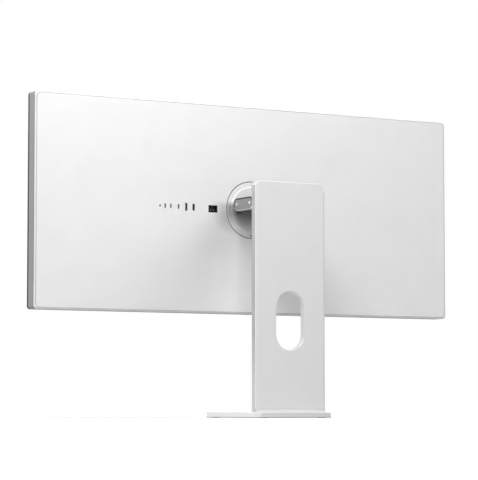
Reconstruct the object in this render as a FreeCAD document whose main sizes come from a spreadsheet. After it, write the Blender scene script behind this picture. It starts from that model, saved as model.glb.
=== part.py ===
"""A slim ultrawide computer monitor on a height-adjustable stand, as a parametric document.

Millimetres, +Z up, screen facing -Y, +X to the right of somebody who looks at the screen.
The origin is the middle of the footprint, on the desk. The head is drawn at the top of its
travel, upright, which is where every joint reads zero.
"""
import FreeCAD, Part
import os
import re

import Sketcher

# ---------------------------------------------------------------- driving dimensions, in mm
SIZES = {
    # head: the flat slab that holds the screen
    "head_width": 946.0, "head_height": 415.0, "head_depth": 34.0,
    "head_corner": 6.0, "head_rear_y": -65.5, "head_centre_z": 413.2,
    "bezel_depth": 3.7, "cover_depth": 11.0, "lip_depth": 4.0, "skirt_gap": 0.2,
    "shell_wall": 2.0, "frame_wall": 2.4, "rear_round": 3.0, "front_round": 0.6,
    "seam_bevel": 0.3, "chin_height": 12.3, "border": 3.0,
    "boss_x": 462.0, "boss_z": 195.0, "boss_pitch": 210.0, "boss_radius": 3.5,
    "rib_pitch": 94.0, "rib_width": 1.2, "rib_height": 2.0, "rib_inset": 12.0,
    "tab_half": 6.0, "tab_reach": 5.0, "tab_thick": 2.0,
    "vent_start": 70.0, "vent_pitch": 9.0, "vent_width": 3.0,
    "vent_near": 2.5, "vent_far": 13.0,
    # screen module, from the glass back
    "panel_front": 33.7, "panel_thick": 1.8, "film_thick": 1.0, "guide_thick": 3.4,
    "reflector_thick": 0.6, "chassis_thick": 1.0, "chassis_front": 30.2, "chassis_back": 25.9,
    "chassis_side": 1.0, "chassis_top": 0.6, "chassis_wall": 0.8, "chassis_corner": 3.0,
    "swage_pitch": 110.0, "swage_near": 300.0, "swage_far": 440.0, "swage_half": 4.0,
    "swage_depth": 0.5, "panel_inset": 0.3,
    "module_margin": 3.9, "ledge_width": 6.0, "ledge_thick": 1.5,
    # hub: the round casting in the middle of the rear cover
    "hub_radius": 56.0, "hub_gap": 1.0, "hub_thick": 5.0, "hub_step_radius": 45.0,
    "hub_step": 1.5, "hub_rim": 6.0, "hub_web": 2.5, "hub_bevel": 0.4,
    "cup_wall": 2.0, "cup_floor": 1.5, "socket_thick": 2.0,
    "socket_radius": 54.0, "socket_eye": 14.0, "hub_bolt_circle": 75.0, "post_radius": 5.0,
    "lock_radius": 2.0, "lock_drop": 51.6, "lock_sink": 3.0, "lock_gap": 0.3,
    "lock_head_height": 1.6, "lock_shank": 1.5, "lock_grip": 5.5, "lock_hex": 1.1,
    "lock_hex_depth": 1.2,
    # sockets on the rear face, measured from the middle of the hub
    "jack_x": 205.4, "jack_bore": 1.8,
    "usbc_near_x": 164.4, "usbc_mid_x": 181.7, "usbc_far_x": 194.2,
    "usbc_width": 3.4, "usbc_height": 9.2,
    "hdmi_x": 147.5, "hdmi_width": 5.0, "hdmi_height": 15.0,
    "usba_x": 130.9, "usba_width": 5.4, "usba_height": 12.8,
    "socket_depth": 13.0, "socket_wall": 0.4, "socket_sink": 0.6, "socket_gap": 0.2,
    "socket_back": 2.0, "socket_corner": 0.5, "tongue_root": 0.5, "tongue_sink": 1.5,
    "usbc_tongue": 0.7, "usbc_tongue_tall": 6.6, "hdmi_tongue": 1.2,
    "hdmi_tongue_tall": 11.0, "usba_tongue": 1.8, "usba_tongue_tall": 10.6,
    "usba_tongue_shift": 1.0,
    "inlet_x": 87.4, "inlet_z": -1.4, "inlet_width": 20.2, "inlet_height": 14.0,
    "inlet_depth": 21.0, "inlet_cavity": 13.0, "inlet_wall": 1.2,
    "inlet_pin": 1.2, "inlet_pin_x": 3.5, "inlet_pin_z": 2.1, "inlet_sink": 0.2,
    "inlet_gap": 0.15, "inlet_flange": 2.0, "inlet_flange_thick": 1.5, "inlet_corner": 1.0,
    "inlet_pin_sink": 2.8, "inlet_tail": 2.0, "lead_radius": 1.3, "lead_pitch": 4.0,
    "lead_low": -79.0, "lead_in": 3.0,
    "jack_depth": 11.0, "jack_barrel": 3.3, "jack_nose": 1.5, "jack_block_width": 7.0,
    "jack_block_height": 11.0, "jack_gap": 0.4,
    # electronics
    "board_thick": 1.6, "main_back": 19.9, "io_back": 13.6, "pillar_radius": 2.8,
    "led_half": 460.0, "led_pitch": 22.5, "led_gap": 1.2, "led_half_width": 2.5,
    "led_height": 1.0, "led_inset": 0.4, "led_edge": 0.1,
    "ribbon_thick": 0.3, "ribbon_corner": 6.0,
    # tilt joint and arm
    "pin_ahead": 20.0, "arm_z": 420.5, "arm_width": 90.0, "arm_half": 12.75,
    "arm_rear_gap": 1.0, "arm_edge": 1.6, "arm_heel": 3.0, "fork_half": 36.0,
    "fork_back": 24.0, "fork_corner": 4.0, "arm_roof": 3.0, "hollow_front": 8.0,
    "hollow_back": 16.0, "hollow_corner": 3.0, "mouth_rim": 2.0, "mouth_depth": 1.6,
    "belly_thick": 1.5, "belly_sink": 0.1, "belly_plug": 2.0, "belly_plug_inset": 4.0,
    "pin_radius": 4.0, "pin_clearance": 0.05, "pin_neck": 3.3, "pin_dome": 0.7,
    "pin_proud": 0.6, "pin_eye": 3.5,
    "plate_pitch": 50.0, "plate_radius": 10.8, "plate_gap": 0.3, "plate_sink": 0.1,
    "plate_thick": 1.5, "lug_thick": 10.0, "lug_outer": 34.0, "lug_radius": 10.0,
    "heel_drop": 8.0, "heel_short": 4.0, "heel_bite": 0.6,
    "washer_radius": 9.0, "washer_gap": 0.1,
    # column
    "column_width": 157.0, "column_thick": 14.5, "column_y": 77.25, "column_top": 456.0,
    "column_corner": 11.0, "column_edge": 1.2, "flare_height": 7.5, "flare_depth": 4.0,
    "cable_hole_width": 62.5, "cable_hole_height": 113.0, "cable_hole_z": 187.0,
    "well_half": 70.0, "well_low": 256.0, "well_high": 450.0, "well_depth": 12.3,
    "lid_half": 75.5, "lid_margin": 4.0, "lid_thick": 1.7, "lid_sink": 0.1, "lid_gap": 0.2,
    # height slide inside the column
    "travel": 120.0, "stem_x": 25.0, "stem_width": 9.0, "stem_height": 20.0,
    "stem_corner": 1.5, "slot_width": 11.0, "slot_inset": 2.0,
    "carriage_half": 65.0, "carriage_height": 58.0,
    "carriage_thick": 3.0, "carriage_gap": 1.2, "carriage_corner": 4.0,
    "rail_x": 64.0, "rail_width": 6.0, "rail_thick": 4.8, "rail_low": 260.0,
    "rail_high": 446.0, "rail_bevel": 0.6, "rail_screw_inset": 12.0,
    "shoe_height": 20.0, "shoe_side": 4.5, "shoe_slack": 0.2, "shoe_front": 1.0,
    "shoe_back": 0.5, "shoe_out": 0.6, "shoe_bevel": 0.8,
    "drum_x": 43.0, "drum_z": 412.0, "drum_radius": 12.6, "coil_radius": 12.3,
    "drum_hub": 8.0, "drum_bore": 2.55, "drum_pin": 2.5, "drum_length": 5.4,
    "drum_gap": 0.3, "drum_slack": 0.4, "drum_cap": 3.6, "drum_cap_thick": 0.35,
    "coil_slack": 0.05, "strip_gap": 0.1,
    "strip_thick": 0.3, "strip_width": 3.4, "anchor_z": 447.0, "anchor_size": 6.0,
    "anchor_gap": 0.6, "anchor_drop": 5.0,
    # base
    "base_width": 165.0, "base_depth": 213.0, "base_thick": 11.0, "base_corner": 9.0,
    "base_edge": 1.0, "foot_height": 0.6, "foot_sink": 1.3,
    "foot_radius": 9.0, "foot_x": 66.0, "foot_y": 90.0,
    "base_screw_in": 18.0, "base_screw_out": 47.0, "lid_screw_x": 72.75,
    "lid_screw_low": 262.0, "lid_screw_mid": 353.0, "lid_screw_high": 444.0,
    # screws: head radius and height, shank radius, length under the head
    "base_head": 4.6, "base_head_height": 3.0, "base_shank": 2.5, "base_grip": 14.0,
    "base_head_bore": 5.2, "base_head_sink": 4.0,
    "lid_head": 1.85, "lid_head_height": 0.8, "lid_grip": 5.0,
    "lid_head_bore": 2.0, "lid_head_sink": 0.9,
    "rail_head": 1.8, "rail_head_height": 1.2, "rail_head_bore": 1.9, "rail_head_sink": 1.6,
    "small_shank": 1.0,
    "arm_head": 3.0, "arm_head_height": 2.2, "arm_shank": 1.5, "arm_grip": 11.0,
    "arm_screw_z": 5.5,
    "plate_head": 2.9, "plate_head_height": 0.8, "plate_shank": 1.5, "plate_grip": 8.0,
    "hub_head": 3.8, "hub_head_height": 2.2, "hub_shank": 2.0, "hub_grip": 14.0,
    "cover_head": 2.8, "cover_head_height": 1.6, "cover_shank": 1.25, "cover_grip": 9.0,
    "fit_gap": 0.02, "thread_gap": 0.05, "clear_gap": 0.2, "hole_spare": 0.5,
    # power button under the head
    "button_length": 14.0, "button_width": 5.0, "button_proud": 0.8, "button_y": -19.0,
    "button_gap": 0.3, "button_flange": 2.0, "button_flange_side": 1.5,
    "button_flange_thick": 1.2, "button_slack": 0.1, "button_round": 0.4,
    "button_post_x": 14.0, "button_post_half": 2.0, "button_post_height": 4.8,
    "button_board_half": 17.0, "button_board_depth": 8.0, "button_board_thick": 1.2,
    "switch_side": 6.0, "switch_height": 2.0, "plunger_radius": 1.4, "plunger_height": 0.6,
}
USB_C = {"usb_c_port_1": "usbc_near_x", "usb_c_port_2": "usbc_mid_x",
         "usb_c_port_3": "usbc_far_x"}
VENTS_A_SIDE = 36
LAMPS = 40
INLET_PINS = [("-inlet_pin_x", "-inlet_pin_z"), ("inlet_pin_x", "-inlet_pin_z"),
              ("0", "inlet_pin_z")]
SIDES = {"left": "-", "right": ""}                  # seen by somebody in front of the screen
BASE_SCREW_X = ["-base_screw_out", "-base_screw_in", "base_screw_in", "base_screw_out"]
LID_SCREWS = [(f"{sign}lid_screw_x", z) for sign in SIDES.values()
              for z in ("lid_screw_low", "lid_screw_mid", "lid_screw_high")]

doc = FreeCAD.newDocument("monitor")
sheet = doc.addObject("Spreadsheet::Sheet", "sizes")
for row, (alias, value) in enumerate(SIZES.items(), start=1):
    sheet.set(f"A{row}", alias)
    sheet.set(f"B{row}", str(value))
    sheet.setAlias(f"B{row}", alias)
doc.recompute()

nodes = []


# ---------------------------------------------------------------- small tools for drawing
def words(formula, swap):
    """Replace each cell name in a formula with what swap gives for it."""
    return re.sub(r"[a-z][a-z_]*", lambda found: swap(found.group()), formula)


def linked(formula):
    """The formula as an expression that reads the sheet."""
    return words(formula, lambda name: f"sizes.{name}" if name in SIZES else name)


def number(formula):
    """The formula's value now, to start a sketch near its solved shape."""
    plain = words(formula, lambda name: str(sheet.get(name)))
    return FreeCAD.Units.Quantity(plain).Value


def place(thing, x="0", y="0", z="0"):
    for axis, formula in zip("xyz", (x, y, z)):
        if formula != "0":
            thing.setExpression(f"Placement.Base.{axis}", linked(formula))


def keep(thing, label):
    """Mark an object as one of the part's nodes."""
    thing.Label = label
    nodes.append(thing)
    return thing


def new_body(label, x="0", y="0", z="0", node=True):
    body = doc.addObject("PartDesign::Body", label)
    place(body, x, y, z)
    return keep(body, label) if node else body


def head_body(label):
    """A body whose origin is the middle of the head's rear face."""
    return new_body(label, y="head_rear_y", z="head_centre_z")


def new_sketch(body, plane, offset="0"):
    """A sketch on one of the body's own planes, moved along that plane's normal."""
    sketch = body.newObject("Sketcher::SketchObject", f"{body.Name}_{plane[:2]}")
    origin_plane = next(f for f in body.Origin.OriginFeatures if f.Role == f"{plane}_Plane")
    sketch.AttachmentSupport = (origin_plane, [""])
    sketch.MapMode = "FlatFace"
    if offset != "0":
        sketch.setExpression("AttachmentOffset.Base.z", linked(offset))
    return sketch


def pin_point(sketch, geometry, vertex, x=None, y=None):
    """Dimension one point of the sketch from its origin."""
    for kind, axis, formula in (("DistanceX", -2, x), ("DistanceY", -1, y)):
        if formula == "0":
            sketch.addConstraint(Sketcher.Constraint("PointOnObject", geometry, vertex, axis))
        elif formula is not None:
            index = sketch.addConstraint(
                Sketcher.Constraint(kind, -1, 1, geometry, vertex, number(formula)))
            sketch.setExpression(f"Constraints[{index}]", linked(formula))


def draw_polygon(sketch, points):
    """A closed outline; each point is a pair of formulas."""
    spots = [FreeCAD.Vector(number(x), number(y), 0) for x, y in points]
    first = sketch.GeometryCount
    count = len(points)
    for i in range(count):
        sketch.addGeometry(Part.LineSegment(spots[i], spots[(i + 1) % count]), False)
    for i in range(count):
        following = first + (i + 1) % count
        sketch.addConstraint(Sketcher.Constraint("Coincident", first + i, 2, following, 1))
    for i, (x, y) in enumerate(points):
        pin_point(sketch, first + i, 1, x, y)
    return sketch


def draw_box(sketch, left, right, low, high):
    return draw_polygon(sketch, [(left, low), (right, low), (right, high), (left, high)])


def draw_middle_box(sketch, width, height):
    """A rectangle centred on the sketch's origin."""
    return draw_box(sketch, f"-({width}) / 2", f"({width}) / 2",
                    f"-({height}) / 2", f"({height}) / 2")


def draw_circle(sketch, x, y, radius):
    centre = FreeCAD.Vector(number(x), number(y), 0)
    index = sketch.addGeometry(Part.Circle(centre, FreeCAD.Vector(0, 0, 1), number(radius)))
    pin_point(sketch, index, 3, x, y)
    rim = sketch.addConstraint(Sketcher.Constraint("Radius", index, number(radius)))
    sketch.setExpression(f"Constraints[{rim}]", linked(radius))
    return sketch


def draw_slot(sketch, start, end, radius):
    """Two half circles joined by straight sides, along the sketch's X or Y."""
    ax, ay, bx, by = (number(f) for f in (*start, *end))
    size = number(radius)
    along = FreeCAD.Vector(bx - ax, by - ay, 0).normalize()
    side = FreeCAD.Vector(-along.y, along.x, 0) * size
    a, b = FreeCAD.Vector(ax, ay, 0), FreeCAD.Vector(bx, by, 0)
    first = sketch.GeometryCount
    shapes = [Part.Arc(a + side, a - along * size, a - side), Part.LineSegment(a - side, b - side),
              Part.Arc(b - side, b + along * size, b + side), Part.LineSegment(b + side, a + side)]
    for shape in shapes:
        sketch.addGeometry(shape, False)
    near, lower, far, upper = range(first, first + 4)
    for arc, arc_end, line, line_end in ((near, 2, lower, 1), (far, 1, lower, 2),
                                         (far, 2, upper, 1), (near, 1, upper, 2)):
        sketch.addConstraint(Sketcher.Constraint("Tangent", arc, arc_end, line, line_end))
    pin_point(sketch, near, 3, *start)
    pin_point(sketch, far, 3, *end)
    rim = sketch.addConstraint(Sketcher.Constraint("Radius", near, size))
    sketch.setExpression(f"Constraints[{rim}]", linked(radius))
    return sketch


def settle(body, feature, sign=0):
    """Make the feature the body's tip, and stop if it adds or cuts nothing."""
    before = body.Shape.Volume if not body.Shape.isNull() else 0.0
    body.Tip = feature
    doc.recompute()
    change = body.Shape.Volume - before
    if feature.State != ["Up-to-date"] or sign and change * sign <= 1e-6:
        raise RuntimeError(f"{feature.Name} {feature.State} changes {body.Name} by {change} mm3")
    return feature


def pad(body, sketch, length, flip=False, both=False):
    """Thicken a profile along its plane's normal, or against it if flipped."""
    feature = body.newObject("PartDesign::Pad", f"{sketch.Name}_pad")
    feature.Profile = sketch
    feature.setExpression("Length", linked(length))
    feature.Reversed = flip
    feature.SideType = "Symmetric" if both else "One side"
    return settle(body, feature, +1)


def pocket(body, sketch, depth, flip=False, both=False):
    """Cut a profile against its plane's normal, or along it if flipped."""
    feature = body.newObject("PartDesign::Pocket", f"{sketch.Name}_cut")
    feature.Profile = sketch
    feature.setExpression("Length", linked(depth))
    feature.Reversed = flip
    feature.SideType = "Symmetric" if both else "One side"
    return settle(body, feature, -1)


def revolve(body, sketch, axis="V_Axis"):
    feature = body.newObject("PartDesign::Revolution", f"{sketch.Name}_turn")
    feature.Profile = sketch
    feature.ReferenceAxis = (sketch, [axis])
    feature.Angle = 360
    return settle(body, feature, +1)


def repeat_along(body, feature, sketch, length, count, sign=-1):
    """Repeat a feature along the sketch's horizontal axis."""
    pattern = body.newObject("PartDesign::LinearPattern", f"{sketch.Name}_row")
    pattern.Originals = [feature]
    pattern.Direction = (sketch, ["H_Axis"])
    pattern.setExpression("Length", linked(length))
    pattern.Occurrences = count
    return settle(body, pattern, sign)


def edge_names(body, wanted):
    return [f"Edge{i}" for i, edge in enumerate(body.Tip.Shape.Edges, start=1) if wanted(edge)]


def runs_along(axis, **limits):
    """A test for straight edges along an axis; limits such as z_min=3 narrow it."""
    def wanted(edge):
        box = edge.BoundBox
        spans = {"x": box.XLength, "y": box.YLength, "z": box.ZLength}
        middle = {"x": box.Center.x, "y": box.Center.y, "z": box.Center.z}
        if spans.pop(axis) < 0.2 or max(spans.values()) > 1e-4:
            return False
        return all(middle[key[0]] >= limit if key.endswith("min") else middle[key[0]] <= limit
                   for key, limit in limits.items())
    return wanted


def lies_at(axis, value):
    """A test for edges wholly in the plane where axis equals value."""
    def wanted(edge):
        box = edge.BoundBox
        low = {"x": box.XMin, "y": box.YMin, "z": box.ZMin}[axis]
        high = {"x": box.XMax, "y": box.YMax, "z": box.ZMax}[axis]
        return abs(low - value) < 1e-4 and abs(high - value) < 1e-4
    return wanted


def soften(body, size, wanted, bevel=False):
    """Round the wanted edges, or bevel them."""
    kind, field = ("Chamfer", "Size") if bevel else ("Fillet", "Radius")
    base, names = body.Tip, edge_names(body, wanted)
    feature = body.newObject(f"PartDesign::{kind}", f"{body.Name}_{kind.lower()}")
    feature.Base = (base, names)
    feature.setExpression(field, linked(size))
    return settle(body, feature)


def new_cylinder(name, radius, height, x="0", y="0", z="0", along="z"):
    """A cylinder that starts at the given point and runs along +X, +Y or +Z."""
    solid = doc.addObject("Part::Cylinder", name)
    solid.setExpression("Radius", linked(radius))
    solid.setExpression("Height", linked(height))
    turns = {"x": (FreeCAD.Vector(0, 1, 0), 90), "y": (FreeCAD.Vector(1, 0, 0), -90)}
    if along in turns:
        solid.Placement.Rotation = FreeCAD.Rotation(*turns[along])
    place(solid, x, y, z)
    return solid


def new_box(name, width, depth, height, x="0", y="0", z="0"):
    """A box given by its sides and its lowest corner."""
    solid = doc.addObject("Part::Box", name)
    for field, formula in (("Length", width), ("Width", depth), ("Height", height)):
        solid.setExpression(field, linked(formula))
    place(solid, x, y, z)
    return solid


def fuse(name, solids):
    union = doc.addObject("Part::MultiFuse", name)
    union.Shapes = solids
    union.Refine = True
    return union


def group(label, solids):
    """One node of separate, like pieces."""
    together = doc.addObject("Part::Compound", label)
    together.Links = solids
    return keep(together, label)


def screw(name, head, head_height, shank, length, x, y, z, points="+y"):
    """A flat-headed screw; the point is where its head meets the work."""
    axis, forward = points[1], points[0] == "+"
    spots = {"x": x, "y": y, "z": z}
    near = dict(spots)
    far = dict(spots)
    if forward:
        near[axis] = f"{spots[axis]} - ({head_height})"
    else:
        far[axis] = f"{spots[axis]} - ({length})"
    return fuse(name, [new_cylinder(f"{name}_head", head, head_height, **near, along=axis),
                       new_cylinder(f"{name}_shank", shank, length, **far, along=axis)])


# ---------------------------------------------------------------- base
def base_plate():
    body = new_body("base_plate", z="foot_height")
    pad(body, draw_middle_box(new_sketch(body, "XY"), "base_width", "base_depth"), "base_thick")
    soften(body, "base_corner", runs_along("z"))
    soften(body, "base_edge", lies_at("z", number("base_thick")))
    soften(body, "base_edge / 2", lies_at("z", 0), bevel=True)
    recess, heads, holes = (new_sketch(body, "XY") for _ in range(3))
    for x in ("foot_x", "-foot_x"):
        for y in ("foot_y", "-foot_y"):
            draw_circle(recess, x, y, "foot_radius + clear_gap")
    for x in BASE_SCREW_X:
        draw_circle(heads, x, "column_y", "base_head_bore")
        draw_circle(holes, x, "column_y", "base_shank + clear_gap")
    pocket(body, recess, "foot_sink", flip=True)
    pocket(body, heads, "base_head_sink", flip=True)
    pocket(body, holes, "base_thick", flip=True)


def rubber_feet():
    feet = [new_cylinder(f"foot_{i}", "foot_radius", "foot_height + foot_sink", x, y)
            for i, (x, y) in enumerate([(x, y) for x in ("foot_x", "-foot_x")
                                        for y in ("foot_y", "-foot_y")])]
    group("rubber_feet", feet)


def base_screws():
    """Four screws from under the base into the column's foot."""
    length = "base_thick - base_head_sink + base_grip"
    group("base_screws",
          [screw(f"base_screw_{i}", "base_head", "base_head_height", "base_shank", length,
                 x, "column_y", "foot_height + base_head_sink", "+z")
           for i, x in enumerate(BASE_SCREW_X)])


# ---------------------------------------------------------------- column
def column():
    body = new_body("column", y="column_y")
    outline = new_sketch(body, "XZ")
    draw_box(outline, "-column_width / 2", "column_width / 2",
             "foot_height + base_thick", "column_top")
    pad(body, outline, "column_thick", both=True)
    soften(body, "column_corner", runs_along("y", z_min=number("column_top") - 1))
    ring = "(cable_hole_height - cable_hole_width) / 2"
    hole = new_sketch(body, "XZ")
    draw_slot(hole, ("0", f"cable_hole_z - {ring}"), ("0", f"cable_hole_z + {ring}"),
              "cable_hole_width / 2")
    pocket(body, hole, "2 * column_thick", both=True)
    flare_top = number("foot_height + base_thick + flare_height")
    for side in (1, -1):
        face = lies_at("y", side * number("column_thick") / 2)
        soften(body, "column_edge",
               lambda edge: face(edge) and edge.BoundBox.ZMax > flare_top, bevel=True)
    for sign, sense in (("", "+"), ("-", "-")):         # concave flare, rear and front
        foot = new_sketch(body, "YZ")
        draw_flare(foot, f"{sign}column_thick / 2", sense)
        pad(body, foot, "column_width - 2 * column_edge", both=True)
    seat = new_sketch(body, "XZ", "column_thick / 2")
    draw_box(seat, "-lid_half", "lid_half", "well_low - lid_margin", "well_high + lid_margin / 2")
    pocket(body, seat, "lid_thick + lid_sink")
    well = new_sketch(body, "XZ", "column_thick / 2")
    draw_box(well, "-well_half", "well_half", "well_low", "well_high")
    pocket(body, well, "well_depth")
    foot_holes = new_sketch(body, "XY", "foot_height + base_thick")
    for x in BASE_SCREW_X:
        draw_circle(foot_holes, x, "0", "base_shank + fit_gap")
    pocket(body, foot_holes, "base_grip + hole_spare", flip=True)
    lid_holes = new_sketch(body, "XZ", "column_thick / 2 - lid_thick - lid_sink")
    for x, z in LID_SCREWS:
        draw_circle(lid_holes, x, z, "small_shank + fit_gap")
    pocket(body, lid_holes, "lid_grip")


def draw_flare(sketch, face, sense):
    """A concave three-sided section that runs down a column face to the base."""
    low = "foot_height + base_thick"
    depth, rise = number("flare_depth"), number("flare_height")
    radius = "(flare_depth * flare_depth + flare_height * flare_height) / (2 * flare_depth)"
    way = 1 if sense == "+" else -1
    x, z, size = number(face), number(low), number(radius)
    corner, toe, top = (FreeCAD.Vector(x, z, 0), FreeCAD.Vector(x + way * depth, z, 0),
                        FreeCAD.Vector(x, z + rise, 0))
    centre = FreeCAD.Vector(x + way * size, z + rise, 0)
    inner = centre + ((toe + top) * 0.5 - centre).normalize() * size
    sketch.addGeometry([Part.LineSegment(top, corner), Part.LineSegment(corner, toe),
                        Part.Arc(toe, inner, top)], False)
    at_toe = 1 if sketch.getPoint(2, 1).distanceToPoint(toe) < 1e-6 else 2
    sketch.addConstraint(Sketcher.Constraint("Coincident", 0, 2, 1, 1))
    sketch.addConstraint(Sketcher.Constraint("Coincident", 1, 2, 2, at_toe))
    sketch.addConstraint(Sketcher.Constraint("Coincident", 0, 1, 2, 3 - at_toe))
    pin_point(sketch, 0, 2, face, low)
    pin_point(sketch, 1, 2, f"{face} {sense} flare_depth", low)
    pin_point(sketch, 0, 1, face, f"{low} + flare_height")
    rim = sketch.addConstraint(Sketcher.Constraint("Radius", 2, size))
    sketch.setExpression(f"Constraints[{rim}]", linked(radius))


def well_lid():
    """The cover let into the column's front, with a slot for each of the carriage's stems."""
    body = new_body("well_lid", y="column_y - column_thick / 2 + lid_sink")
    outline = new_sketch(body, "XZ")
    draw_box(outline, "-lid_half + lid_gap", "lid_half - lid_gap",
             "well_low - lid_margin + lid_gap", "well_high + lid_margin / 2 - lid_gap")
    pad(body, outline, "lid_thick", flip=True)
    slots = new_sketch(body, "XZ")
    for x in ("stem_x", "-stem_x"):
        draw_slot(slots, (x, "arm_z - travel - stem_height / 2 + slot_inset"),
                  (x, "arm_z + stem_height / 2 - slot_inset"), "slot_width / 2")
    pocket(body, slots, "lid_thick")
    holes = new_sketch(body, "XZ")
    for x, z in LID_SCREWS:
        draw_circle(holes, x, z, "small_shank + clear_gap")
    pocket(body, holes, "lid_thick")
    heads = new_sketch(body, "XZ")
    for x, z in LID_SCREWS:
        draw_circle(heads, x, z, "lid_head_bore")
    pocket(body, heads, "lid_head_sink")


def well_lid_screws():
    seat = "column_y - column_thick / 2 + lid_sink + lid_head_sink"
    group("well_lid_screws",
          [screw(f"lid_screw_{i}", "lid_head", "lid_head_height", "small_shank", "lid_grip",
                 x, seat, z) for i, (x, z) in enumerate(LID_SCREWS)])


# ---------------------------------------------------------------- height slide, inside the column
WELL_BACK = "column_y - column_thick / 2 + well_depth"          # inner face of the rear wall
CARRIAGE_FRONT = "column_y - column_thick / 2 + lid_sink + lid_thick + carriage_gap"
CARRIAGE_BACK = f"{CARRIAGE_FRONT} + carriage_thick"
RAIL_SCREW_Z = ["rail_low + rail_screw_inset", "(rail_low + rail_high) / 2",
                "rail_high - rail_screw_inset"]


RAIL_INNER = "rail_x - rail_width / 2"


def guide_rail(side, sign):
    """A flat steel rail on the rear wall of the well, with countersunk fixing holes."""
    body = new_body(f"{side}_guide_rail", x=f"{sign}rail_x", y=WELL_BACK)
    profile = new_sketch(body, "XY", "rail_low")
    draw_box(profile, "-rail_width / 2", "rail_width / 2", "-rail_thick", "0")
    pad(body, profile, "rail_high - rail_low")
    soften(body, "rail_bevel", runs_along("z", y_max=-number("rail_thick") / 2), bevel=True)
    heads, holes = new_sketch(body, "XZ", "rail_thick"), new_sketch(body, "XZ", "rail_thick")
    for z in RAIL_SCREW_Z:
        draw_circle(heads, "0", z, "rail_head_bore")
        draw_circle(holes, "0", z, "small_shank + thread_gap")
    pocket(body, heads, "rail_head_sink")
    pocket(body, holes, "rail_thick")


def rail_screws():
    seat = f"{WELL_BACK} - rail_thick + rail_head_sink"
    group("rail_screws",
          [screw(f"rail_screw_{side}_{i}", "rail_head", "rail_head_height", "small_shank",
                 "rail_thick - rail_head_sink", f"{sign}rail_x", seat, z)
           for side, sign in SIDES.items() for i, z in enumerate(RAIL_SCREW_Z)])


def carriage():
    """The plate that runs up and down in the well; its two stems pass the lid's slots."""
    body = new_body("carriage", y=CARRIAGE_FRONT, z="arm_z")
    pad(body, draw_middle_box(new_sketch(body, "XZ"), "2 * carriage_half", "carriage_height"),
        "carriage_thick", flip=True)
    stems = new_sketch(body, "XZ")
    for x in ("stem_x", "-stem_x"):
        draw_box(stems, f"{x} - stem_width / 2", f"{x} + stem_width / 2",
                 "-stem_height / 2", "stem_height / 2")
    pad(body, stems, "carriage_gap + lid_thick + lid_sink + arm_rear_gap")
    soften(body, "carriage_corner", runs_along("y", y_min=0))
    soften(body, "stem_corner", runs_along("y", y_max=0))
    holes = new_sketch(body, "XZ")
    for x, z in ARM_SCREWS:
        draw_circle(holes, x, z, "arm_shank + clear_gap")
    pocket(body, holes, "6 * carriage_thick", both=True)


def glide_shoes():
    """Four plastic shoes, clipped on the carriage's corners, that straddle the rails."""
    shoes = []
    for level, low in (("low", "arm_z - carriage_height / 2"),
                       ("high", "arm_z + carriage_height / 2 - shoe_height")):
        shoe = new_body(f"{level}_shoe", z=low, node=False)
        block, rail_way, plate_way = (new_sketch(shoe, "XY") for _ in range(3))
        draw_box(block, f"{RAIL_INNER} - shoe_side", "well_half - shoe_out",
                 f"{CARRIAGE_FRONT} - shoe_front", f"{WELL_BACK} - shoe_back")
        draw_box(rail_way, f"{RAIL_INNER} - shoe_slack", "rail_x + rail_width / 2 + shoe_slack",
                 f"{WELL_BACK} - rail_thick - shoe_slack", WELL_BACK)
        draw_box(plate_way, f"{RAIL_INNER} - 2 * shoe_side", "carriage_half + fit_gap",
                 CARRIAGE_FRONT, CARRIAGE_BACK)
        pad(shoe, block, "shoe_height")
        soften(shoe, "shoe_bevel", runs_along("z", x_min=number("rail_x")), bevel=True)
        pocket(shoe, rail_way, "shoe_height", flip=True)
        pocket(shoe, plate_way, "shoe_height", flip=True)
        twin = doc.addObject("Part::Mirroring", f"{level}_shoe_twin")
        twin.Source = shoe
        twin.Normal = (1, 0, 0)
        shoes += [shoe, twin]
    group("glide_shoes", shoes)


def spring_spool(side, sign):
    """The flanged spool on which a constant-force spring is wound."""
    body = new_body(f"{side}_spring_spool", x=f"{sign}drum_x", y=f"{CARRIAGE_BACK} + drum_gap",
                    z="drum_z")
    profile = new_sketch(body, "XY")
    flange = "((drum_length - strip_width) / 2 - strip_gap)"
    draw_polygon(profile, [("drum_bore", "0"), ("drum_radius", "0"), ("drum_radius", flange),
                           ("drum_hub", flange), ("drum_hub", f"drum_length - {flange}"),
                           ("drum_radius", f"drum_length - {flange}"),
                           ("drum_radius", "drum_length"), ("drum_bore", "drum_length")])
    revolve(body, profile)


STRIP_FRONT = f"{CARRIAGE_BACK} + drum_gap + (drum_length - strip_width) / 2"
STRIP_INNER = "drum_x - coil_radius - strip_gap - strip_thick"


def spring_coil(side, sign):
    """The wound part of the spring, seen as the ring that its turns fill."""
    body = new_body(f"{side}_spring_coil", x=f"{sign}drum_x", y=STRIP_FRONT, z="drum_z")
    profile = new_sketch(body, "XY")
    draw_box(profile, "drum_hub + coil_slack", "coil_radius", "0", "strip_width")
    revolve(body, profile)


def spring_strip(side, sign):
    """The free end of the spring, from its coil up to the anchor."""
    x = STRIP_INNER if sign == "" else f"-({STRIP_INNER}) - strip_thick"
    strip = new_box(f"{side}_spring_strip", "strip_thick", "strip_width", "anchor_z - drum_z",
                    x, STRIP_FRONT, "drum_z")
    keep(strip, f"{side}_spring_strip")


def spring_anchors():
    """Blocks on the rear wall that the springs' free ends hook into."""
    blocks = []
    for side, sign in SIDES.items():
        x = f"{STRIP_INNER} - anchor_size" if sign == "" else f"-({STRIP_INNER})"
        blocks.append(new_box(f"{side}_anchor", "anchor_size",
                              f"{WELL_BACK} - ({CARRIAGE_BACK}) - anchor_gap", "anchor_size",
                              x, f"{CARRIAGE_BACK} + anchor_gap", "anchor_z - anchor_drop"))
    group("spring_anchors", blocks)


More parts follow.
